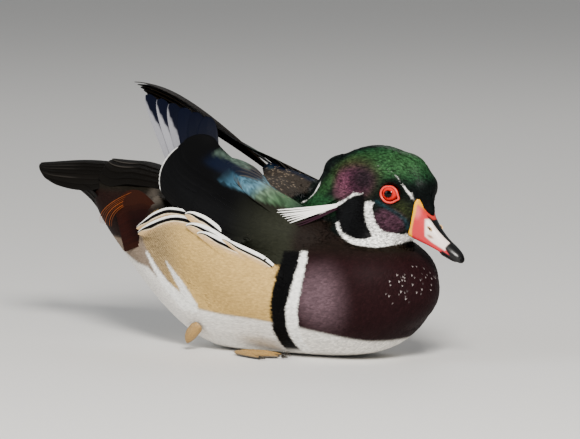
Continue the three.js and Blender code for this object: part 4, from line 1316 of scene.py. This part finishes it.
def vane_form(cells):
    """A flat closed blade: (across, along, face) of each corner, and its four-sided faces."""
    form = bmesh.new()
    bmesh.ops.create_grid(form, x_segments=cells[0], y_segments=cells[1], size=1)
    top = set(form.verts)
    copy = bmesh.ops.duplicate(form, geom=form.faces[:])
    lower_faces = [g for g in copy["geom"] if isinstance(g, bmesh.types.BMFace)]
    bmesh.ops.reverse_faces(form, faces=lower_faces)
    rims = [edge for edge in form.edges if edge.is_boundary]
    bmesh.ops.translate(form, verts=[v for v in form.verts if v not in top], vec=(0, 0, -1))
    bmesh.ops.bridge_loops(form, edges=rims)
    bmesh.ops.recalc_face_normals(form, faces=form.faces)
    return pattern_of(form, lambda v: 1 if v in top else -1)


BROAD_VANE = vane_form((10, 20))
SLIM_VANE = vane_form((4, 14))
FINE_VANE = vane_form((28, 26))
BLADE = {"width": 15, "thick": 0.35, "lift": 0, "sink": 3, "rise": 0.35, "tilt": 0, "cup": 0.02,
         "blunt": 0.7, "hem": 0, "quill": 0.5, "swell": 0.4, "shaft": 0.12}


def tier(count, pitch=0.0, fall=0.0, **sizes):
    """The sizes of every feather of a tier; a pair runs from the first feather's to the last's."""
    made = []
    for i in range(count):
        share = i / max(1, count - 1)
        off = i - (count - 1) / 2
        feather = {"share": share}
        for key, value in {**BLADE, **sizes}.items():
            value = np.asarray(value, float)
            feather[key] = blend(*value, share) if value.ndim and len(value) == 2 else value
        step = pitch * off - fall * abs(off)
        feather["lift"] = feather["lift"] + step
        feather["sink"] = feather["sink"] - step
        made.append(feather)
    return made


def on_sheet(sheet, *tiers):
    """The feathers of tiers that lie on a sheet, in the order in which they are laid."""
    return [(sheet, f) for sizes in tiers for f in tier(**sizes)]


def blade_half(f, t):
    """Half the width of a blade along its length: narrow at the quill, rounded at the tip."""
    blunt = np.sqrt(np.maximum(0.004, 1 - (np.maximum(0, t - f["blunt"]) / (1.01 - f["blunt"])) ** 2))
    return f["width"] / 2 * blend(f["quill"], 1, ease(t / f["swell"])) * blunt


def blade_stand(f, t, w, face):
    """How far a blade's two faces stand off its middle: its thickness, shaft, tilt and turned-in hem."""
    shaft = np.where(face > 0, (1 - np.abs(w)) ** 3 * f["shaft"] * (1 - t), 0)
    hem = f["hem"] * np.maximum(0, -w) ** 2
    return face * f["thick"] / 2 * (1 - 0.5 * np.abs(w)) + shaft + f["tilt"] * w - hem


TIP_CROWDING = 1.3


def laid_blade(sheet, f, grid):
    """A feather that lies on a sheet, from its root to its tip, both (s, t) places on it."""
    w, v, face = grid.T
    t = 1 - (1 - v) ** TIP_CROWDING
    s = blend(f["root"][0], f["tip"][0], t)
    half = blade_half(f, t)
    at = blend(f["root"][1], f["tip"][1], t) + w * half / sheet.height(s)
    lift = blend(-f["sink"], f["lift"], ease(t / f["rise"])) + blade_stand(f, t, w, face)
    out = sheet.out(s, at)
    return sheet.at(s, at) + out * lift[:, None], out, w, t, half


def free_blade(f, grid):
    """A feather that stands free: root, via and tip are places in space."""
    w, v, face = grid.T
    t = 1 - (1 - v) ** TIP_CROWDING
    root, via, tip = f["root"], f["via"], f["tip"]
    bend = 2 * via - (root + tip) / 2
    k = t[:, None]
    line = root * (1 - k) ** 2 + bend * 2 * k * (1 - k) + tip * k ** 2
    ahead = unit(2 * (1 - k) * (bend - root) + 2 * k * (tip - bend))
    across = unit(np.cross(unit(f["face"]), ahead))
    out = np.cross(ahead, across)
    half = blade_half(f, t)
    off = f["lift"] - f["cup"] * w * w * half + blade_stand(f, t, w, face)
    return line + across * (w * half)[:, None] + out * off[:, None], out, w, t, half


def vanes(name, blades, paint, finish, slot, nodes=(), form=BROAD_VANE, soften=0.6):
    """Joins blades in one piece. paint(w, t, half, place, blade, rng) gives each corner's tint."""
    grid, faces = form
    rng = np.random.default_rng(1)
    corners, all_faces, tints, flat, outs = [], [], [], [], []
    for n, (sheet, f) in enumerate(blades):
        places, out, w, t, half = laid_blade(sheet, f, grid) if sheet else free_blade(f, grid)
        corners.append(places)
        outs.append(out * grid[:, 2:])
        all_faces.append(faces + n * len(grid))
        tints.append(paint(w, t, half, places, f, rng))
        flat.append(np.column_stack([w * half, t * 60 + 7 * n]) / 100)
    mesh = bpy.data.meshes.new(name)
    mesh.from_pydata((np.vstack(corners) * MM).tolist(), [], np.vstack(all_faces).tolist())
    set_smooth(mesh)
    set_tint(mesh, np.vstack(tints))
    set_map(mesh, "barbs", np.vstack(flat))
    turned_out = bmesh.new()
    turned_out.from_mesh(mesh)
    bmesh.ops.recalc_face_normals(turned_out, faces=turned_out.faces)
    turned_out.to_mesh(mesh)
    turned_out.free()
    own = normals_of(mesh)
    mesh.normals_split_custom_set_from_vertices(unit(blend(own, np.vstack(outs), soften)).tolist())
    put(name, mesh, finish, slot, *nodes)


BARB_SLANT = -1.2
RIBS = 0.12


def vane_finish(name, rough, gloss):
    """Long feathers: barbs that slant off the shaft, with the tints of the feather under them."""
    material, tree, shader = new_material(name)
    apart = give(tree, "SeparateXYZ", {"Vector": give(tree, "UVMap", {}, uv_map="barbs")["UV"]})
    fold = give(tree, "Math", {0: apart["X"]}, operation="ABSOLUTE")["Value"]
    slant = give(tree, "Math", {0: fold, 1: BARB_SLANT, 2: apart["Y"]}, operation="MULTIPLY_ADD")["Value"]
    along = give(tree, "CombineXYZ", {"X": slant})["Vector"]
    barbs = give(tree, "TexWave", {"Vector": along, "Scale": 42, "Distortion": 2.5, "Detail": 2})["Fac"]
    shade = give(tree, "MapRange", {"Value": barbs, "To Min": 1 - RIBS, "To Max": 1 + RIBS})["Result"]
    wire(tree, shader, {
        "Base Color": dyed(tree, shade),
        "Normal": relief(tree, barbs, 0.15, 0.2),
        "Roughness": rough,
        "Specular IOR Level": gloss,
    })
    return material


wing_finish = vane_finish("wing_plumage", 0.5, 0.06)
soft_vane_finish = vane_finish("soft_plumage", 0.6, 0.05)


def tinged(tint, rng, spread):
    """A whole feather made a little lighter or darker than its neighbours."""
    return tint * rng.uniform(1 - spread, 1 + spread)


def sparkle(tint, rng):
    """Breaks the bright bands up into glints, as barbs that catch the light and barbs that don't."""
    bright = ease(tint.max(-1, keepdims=True) / 0.06)
    return tint * blend(1, rng.uniform(0.35, 1.35, (*tint.shape[:-1], 1)), bright)


MANTLE_DARK = (0.013, 0.011, 0.009)
MANTLE_RIM = (0.05, 0.04, 0.03)


def wing_paint(w, t, half, places, f, rng):
    """The wing's bands by place, white at the tips of the trailing row, tan rims on the mantle."""
    side = mirrored(places)
    tint = sparkle(wing_tint(side), rng)
    rim = ease((1.5 - (1 - np.abs(w)) * half) / 0.8) * ease((t - 0.3) / 0.3)
    rim = f["tan_rim"] * rim * ease((side[:, 0] + 30) / 8) * rng.uniform(0.1, 1)
    tint = lay(tint, MANTLE_DARK, np.full(len(w), f["brown"]))
    tint = lay(tint, MANTLE_RIM, rim)
    tint = lay(tint, WHITE, f["white_tip"] * ease((t - 0.981) / 0.007))
    return tinged(tint, rng, 0.1)


PLAIN = {"white_tip": 0.0, "tan_rim": 0.0, "brown": 0.0}
SECONDARIES = {
    **PLAIN, "count": 10, "width": 16, "blunt": 0.88, "tilt": -0.4, "lift": 0.8, "white_tip": 1.0,
    "root": ((0.5, 0.07), (0.5, 0.5)), "tip": ((1.01, 0.06), (1.01, 0.6)),
}
TERTIALS = {
    **PLAIN, "count": 4, "width": 24, "blunt": 0.76, "tilt": -0.6, "hem": 0.8, "lift": (2.6, 3.6),
    "root": ((0.4, 0.52), (0.42, 0.74)), "tip": ((0.98, 0.54), (1, 0.80)),
}
GREAT_COVERTS = {
    **PLAIN, "count": 9, "width": 16, "blunt": 0.6, "tilt": -0.4, "lift": 2.4,
    "root": ((0.3, 0.08), (0.3, 0.58)), "tip": ((0.72, 0.08), (0.7, 0.58)),
}
SCAPULARS = {
    **PLAIN, "count": 6, "width": 15, "blunt": 0.55, "pitch": -0.3, "lift": 4.2, "sink": 5, "rise": 0.6,
    "hem": 1.8, "tan_rim": 1.0, "root": ((0.14, 0.74), (0.34, 0.94)), "tip": ((0.5, 0.76), (0.7, 0.88)),
}
HAND_NAVY = (0.0012, 0.002, 0.007)
HAND_SILVER = (0.2, 0.2, 0.22)
HAND_BROWN = (0.006, 0.004, 0.0025)


def primary_paint(w, t, half, places, f, rng):
    """The hand's feathers: silver outer webs that narrow to the tip, dark blue inner webs."""
    border = np.interp(t, [0.45, 0.95], [0.05, 0.85])
    silver = edged(f["outer"] * w - border, 0.12) * f["silver"] * ease((0.5 - f["share"]) / 0.1)
    tint = painted(HAND_NAVY, w, (HAND_SILVER, silver), (HAND_BROWN, np.full(len(w), f["brown"])))
    return tinged(tint, rng, 0.12)


PRIMARIES = {
    RIGHT: {
        "count": 6, "pitch": 1.4, "tilt": 0.8, "blunt": 0.55, "width": (14, 17), "face": (0.35, -0.9, 0.3),
        "outer": 1.0, "silver": 1.0, "brown": 0.0, "root": ((-74, -26, 108), (-56, -19, 112)),
        "via": ((-95, -25, 156), (-64, -14, 147)), "tip": ((-123, -13, 187.5), (-70, -5, 169)),
    },
    LEFT: {
        "count": 5, "pitch": -0.3, "blunt": 0.6, "width": 15, "quill": 0.2, "swell": 0.85, "thick": 0.6,
        "outer": -1.0, "silver": 0.0, "brown": 1.0, "root": ((-34, 20, 133), (-41, 30, 131)),
        "via": ((-101, 13, 178), (-106, 22, 169)), "tip": ((-149, 10, 191.5), (-142, 16, 185.5)),
        "face": ((0.5, 0.15, 0.85), (0.45, -0.3, 0.8)),
    },
}
MANTLE_BROWNED = {RIGHT: 0.0, LEFT: 0.85}

for name, side in SIDES:
    scapulars = {**SCAPULARS, "brown": MANTLE_BROWNED[side]}
    blades = on_sheet(WING_SHEETS[side], SECONDARIES, GREAT_COVERTS, TERTIALS, scapulars)
    vanes("wing_feathers_" + name, blades, wing_paint, wing_finish, "wing_feathers", ["wing_" + name],
          soften=0.75)
    stood = ["primaries_right"] if side == RIGHT else []
    vanes("hand_feathers_" + name, on_sheet(None, PRIMARIES[side]), primary_paint, wing_finish,
          "wing_feathers", stood)

# The tail: fourteen firm feathers, square at the end, with softer coverts above and below.

RECTRICES = {
    "count": 14, "width": 16, "blunt": 0.86, "fall": 0.4, "sink": 0.5, "pale": 0.3,
    "root": ((0.45, 0.12), (0.45, 0.88)), "tip": ((1, 0.08), (1, 0.92)),
}
UPPER_COVERTS = {
    "count": 9, "width": 17, "blunt": 0.7, "fall": 0.5, "lift": 2.4, "rise": 0.6, "pale": 1.0,
    "root": ((0.08, 0.16), (0.08, 0.84)), "tip": ((0.6, 0.14), (0.6, 0.86)),
}
UNDER_COVERTS = {
    "count": 9, "width": 16, "blunt": 0.6, "fall": 0.5, "lift": 2, "rise": 0.5, "pale": 0.4,
    "root": ((0.18, 0.1), (0.18, 0.9)), "tip": ((0.96, 0.14), (0.96, 0.86)),
}
TAIL_BLACK = (0.0034, 0.0028, 0.0022)
TAIL_SHEEN_RIM = (0.05, 0.044, 0.038)


def tail_paint(w, t, half, places, f, rng):
    """Brown-black, with a pale rim on about every second feather: painted sheen along its edge."""
    rim = ease((1.0 - (1 - np.abs(w)) * half) / 0.8) * ease((t - 0.5) / 0.2) * f["pale"]
    return tinged(painted(TAIL_BLACK, w, (TAIL_SHEEN_RIM, rim * float(rng.random() < 0.5))), rng, 0.2)


vanes("tail_feathers", on_sheet(TAIL_SHEET, RECTRICES, UPPER_COVERTS), tail_paint, soft_vane_finish,
      "tail_feathers", ["tail"])
vanes("undertail_feathers", on_sheet(UNDERTAIL_SHEET, UNDER_COVERTS), tail_paint, soft_vane_finish,
      "tail_feathers", ["tail_coverts_under"])

# The rump plumes: loose maroon feathers that hang from behind the wing over the side of the tail,
# with a few long orange hairs behind them.

RUMP = {
    "count": 16, "width": 12, "blunt": 0.4, "pitch": 0.2, "cup": 0.1, "shaft": 0, "sink": 8, "rise": 0.7,
    "root": ((-92, 41, 80), (-94, 38, 103)), "via": ((-109, 41.7, 81), (-116, 38.7, 110.5)),
    "tip": ((-126.5, 37.5, 70.5), (-132, 36.5, 99)),
}
RUMP_HAIRS = {
    "count": 7, "width": 0.42, "blunt": 0.2, "cup": 0, "shaft": 0,
    "root": ((-112, 39, 108), (-117, 39, 114.5)), "via": ((-129, 40.5, 100), (-140, 40, 102)),
    "tip": ((-135, 40, 88), (-145, 40, 90)),
}
PLUME_DARK = (0.006, 0.0009, 0.0007)
PLUME_TIP = (0.016, 0.0028, 0.0018)
PLUME_BROWN = (0.018, 0.0045, 0.002)
HAIR_ORANGE = (0.14, 0.034, 0.007)


def rump_paint(w, t, half, places, f, rng):
    """Dark maroon, redder at the tips and browner at both ends of the row."""
    at_end = np.full(len(w), abs(2 * f["share"] - 1) ** 3)
    tint = painted(PLUME_DARK, w, (PLUME_TIP, ease((t - 0.5) / 0.4)), (PLUME_BROWN, at_end))
    return tinged(tint, rng, 0.12)


def hair_paint(w, t, half, places, f, rng):
    return tinged(painted(HAIR_ORANGE, w), rng, 0.8)


def sided(sizes, side, face=(-0.25, 1, 0.2)):
    """A tier that stands free on one side of the bird, from its sizes for the left side."""
    turned = {key: np.array(sizes[key]) * (1, side, 1) for key in ("root", "via", "tip")}
    return on_sheet(None, {**sizes, **turned, "face": np.array(face) * (1, side, 1)})


for name, side in SIDES:
    vanes("rump_plumes_" + name, sided(RUMP, side), rump_paint, soft_vane_finish, "rump_feathers",
          ["rump_" + name], soften=0.85)
    vanes("rump_hairs_" + name, sided(RUMP_HAIRS, side), hair_paint, soft_vane_finish, "rump_feathers",
          form=SLIM_VANE)

# The flank's long upper feathers, which lie over the wing: buff, each with a white upper edge, a
# black band under it and a thin cream line under that, seen as crescents where they overlap.

FLANK_PLUMES = (
    {"root": (0.58, 0.96), "tip": (1.00, 0.76), "width": 14, "lift": 1.2, "bands": (1.8, 4.8, 5.6)},
    {"root": (0.46, 0.92), "tip": (0.97, 0.66), "width": 16, "lift": 1.7, "bands": (1.8, 5.0, 5.7)},
    {"root": (0.30, 0.92), "tip": (0.60, 0.93), "width": 16, "lift": 1.6, "sink": 6,
     "bands": (3.0, 6.0, 6.8)},
    {"root": (0.24, 0.905), "tip": (0.575, 0.84), "width": 16, "lift": 1.9, "sink": 6,
     "bands": (3.3, 6.0, 6.8)},
    {"root": (0.17, 0.905), "tip": (0.505, 0.82), "width": 16, "lift": 2.2, "sink": 6,
     "bands": (3.1, 5.6, 6.3)},
    {"root": (0.10, 0.90), "tip": (0.385, 0.92), "width": 12, "lift": 2.4, "sink": 8,
     "bands": (2.6, 4.4, 5.1)},
)
FLANK_BLADE = {**BLADE, "sink": 2.6, "rise": 0.45, "hem": 5, "blunt": 0.5, "shaft": 0}
PLUME_BUFF = (0.52, 0.34, 0.16)
PLUME_CREAM = (0.7, 0.58, 0.4)


def flank_paint(w, t, half, places, f, rng):
    """The bands along the upper edge, which narrow to the tip, and the flank's own colour below."""
    white, black, cream = f["bands"]
    thin = ease((1.02 - t) / 0.35) * 0.7 + 0.3
    edge = (1 - w) * half
    flank = plumage(places)
    tint = painted(
        PLUME_BUFF, w,
        (flank[:, :3], ease((edge - cream - 1) / 3)),
        (PLUME_CREAM, edged(cream * thin - edge, 0.4)),
        (JET, edged(black * thin - edge, 0.4)),
        (WHITE, edged(white * thin - edge, 0.4)),
    )
    return np.column_stack([tint, flank[:, 3] * ease((edge - cream) / 0.5)])


for name, side in SIDES:
    plumes = [(FLANK_SHEETS[side], {**FLANK_BLADE, **sizes}) for sizes in FLANK_PLUMES]
    vanes("flank_plumes_" + name, plumes, flank_paint, body_finish, "flank_feathers",
          form=FINE_VANE, soften=0.8)

# The crest: long silky locks that run back from the crown and the cheek and hang over the nape,
# and on each side a fan of white strands over two dark ones, which spreads over the shoulder.

LOCK = {"width": 3.6, "sink": 2.2, "blunt": 0.3, "thick": 0.4, "shaft": 0}
CREST_TIERS = (
    {**LOCK, "count": 16, "lift": -0.3,
     "root": ((0.56, 0.06), (0.56, 0.94)), "tip": ((1.02, 0.12), (1.02, 0.88))},
    {**LOCK, "count": 26, "lift": 0.2,
     "root": ((0.34, 0.04), (0.34, 0.96)), "tip": ((0.86, 0.06), (0.86, 0.94))},
    {**LOCK, "count": 30, "lift": 0.5, "rise": 0.8,
     "root": ((0.05, 0.06), (0.05, 0.94)), "tip": ((0.62, 0.04), (0.62, 0.96))},
)
FAN = {"width": 1.25, "thick": 0.6, "blunt": 0.25, "cup": 0.05, "shaft": 0, "quill": 0.8, "swell": 0.6}
FAN_FACE = (0.35, 0.85, 0.4)
FAN_TIERS = (
    {**FAN, "count": 3, "white": 1.0, "root": ((55, 18, 114), (55, 18.2, 113)),
     "via": ((37, 31, 111.5), (39, 32, 109)), "tip": ((17, 43.5, 109.6), (21, 44, 106.4))},
    {**FAN, "count": 4, "white": 1.0, "root": ((55, 18.3, 113), (55, 18.5, 112.4)),
     "via": ((41, 32, 109), (43, 33, 106.8)), "tip": ((24, 44, 105.4), (31, 44.5, 101))},
    {**FAN, "count": 2, "white": 0.0, "root": ((55, 18.5, 111.6), (55, 18.5, 110.6)),
     "via": ((45, 32.5, 105), (46, 32.5, 104)), "tip": ((35, 43, 100), (37, 42.5, 99))},
)
FAN_DARK = (0.02, 0.006, 0.012)


def crest_paint(w, t, half, places, f, rng):
    return tinged(head_tint(places), rng, 0.18)


def fan_paint(w, t, half, places, f, rng):
    return tinged(painted(FAN_DARK, w, (WHITE, np.full(len(w), f["white"]))), rng, 0.05)


vanes("crest_locks", on_sheet(MANE_SHEET, *CREST_TIERS), crest_paint, head_finish, "head_feathers",
      ["crest"], SLIM_VANE, 0.8)
for name, side in SIDES:
    fan = [blade for sizes in FAN_TIERS for blade in sided(sizes, side, FAN_FACE)]
    vanes("crest_fan_" + name, fan, fan_paint, soft_vane_finish, "head_feathers", form=SLIM_VANE)

# The legs and feet, tucked under the belly: dull yellow scaled skin with thin dark webs and
# small dark claws.

FOOT_VOXEL = 0.8 * MM
FOOT_GROW = 0.1 * MM
FOOT_YELLOW = (0.34, 0.2, 0.06)
WEB_BROWN = (0.045, 0.035, 0.025)
CLAWS = ((18, 30), (24, 43), (14, 58))
CLAW_LONG = 5.5
CLAW_BLACK = (0.02, 0.015, 0.01)


def foot_finish():
    """Skin in small scales, dark in the grooves between them."""
    material, tree, shader = new_material("foot_scales")
    place = give(tree, "TexCoord", {})["Object"]
    scales = give(tree, "TexVoronoi", {"Vector": place, "Scale": 900})["Distance"]
    shade = give(tree, "MapRange", {"Value": scales, "To Min": 1.1, "To Max": 0.6})["Result"]
    wire(tree, shader, {
        "Base Color": dyed(tree, shade),
        "Normal": relief(tree, scales, 0.4, 0.3),
        "Roughness": 0.5,
    })
    return material


foot_look = foot_finish()
for name, side in SIDES:
    limbs = [node_form(part + name, FOOT_GROW) for part in ("leg_", "foot_")]
    mesh = melted("foot_skin_" + name, limbs, FOOT_VOXEL)
    at = eased(mesh, 5, lambda turn: 0.5)
    at[:, 2] = np.maximum(at[:, 2], LOWEST)
    set_corners(mesh, at)
    set_smooth(mesh)
    web = ease((2.3 - at[:, 2]) / 0.7) * ease((at[:, 0] + 18) / 6)
    set_tint(mesh, painted(FOOT_YELLOW, at, (WEB_BROWN, web)))
    put("foot_skin_" + name, mesh, foot_look, "foot_skin", "leg_" + name, "foot_" + name)
    claws = bmesh.new()
    for x, y in CLAWS:
        place = Matrix.Translation(Vector((x + CLAW_LONG / 3, y * side, 1.7)) * MM)
        place = place @ Matrix.Rotation(math.radians(98), 4, "Y")
        bmesh.ops.create_cone(claws, cap_ends=True, segments=14, radius1=1.3 * MM, radius2=0.2 * MM,
                              depth=CLAW_LONG * MM, matrix=place)
    put_form("claws_" + name, claws, bill_finish, "foot_skin", tint_of=plain(CLAW_BLACK))
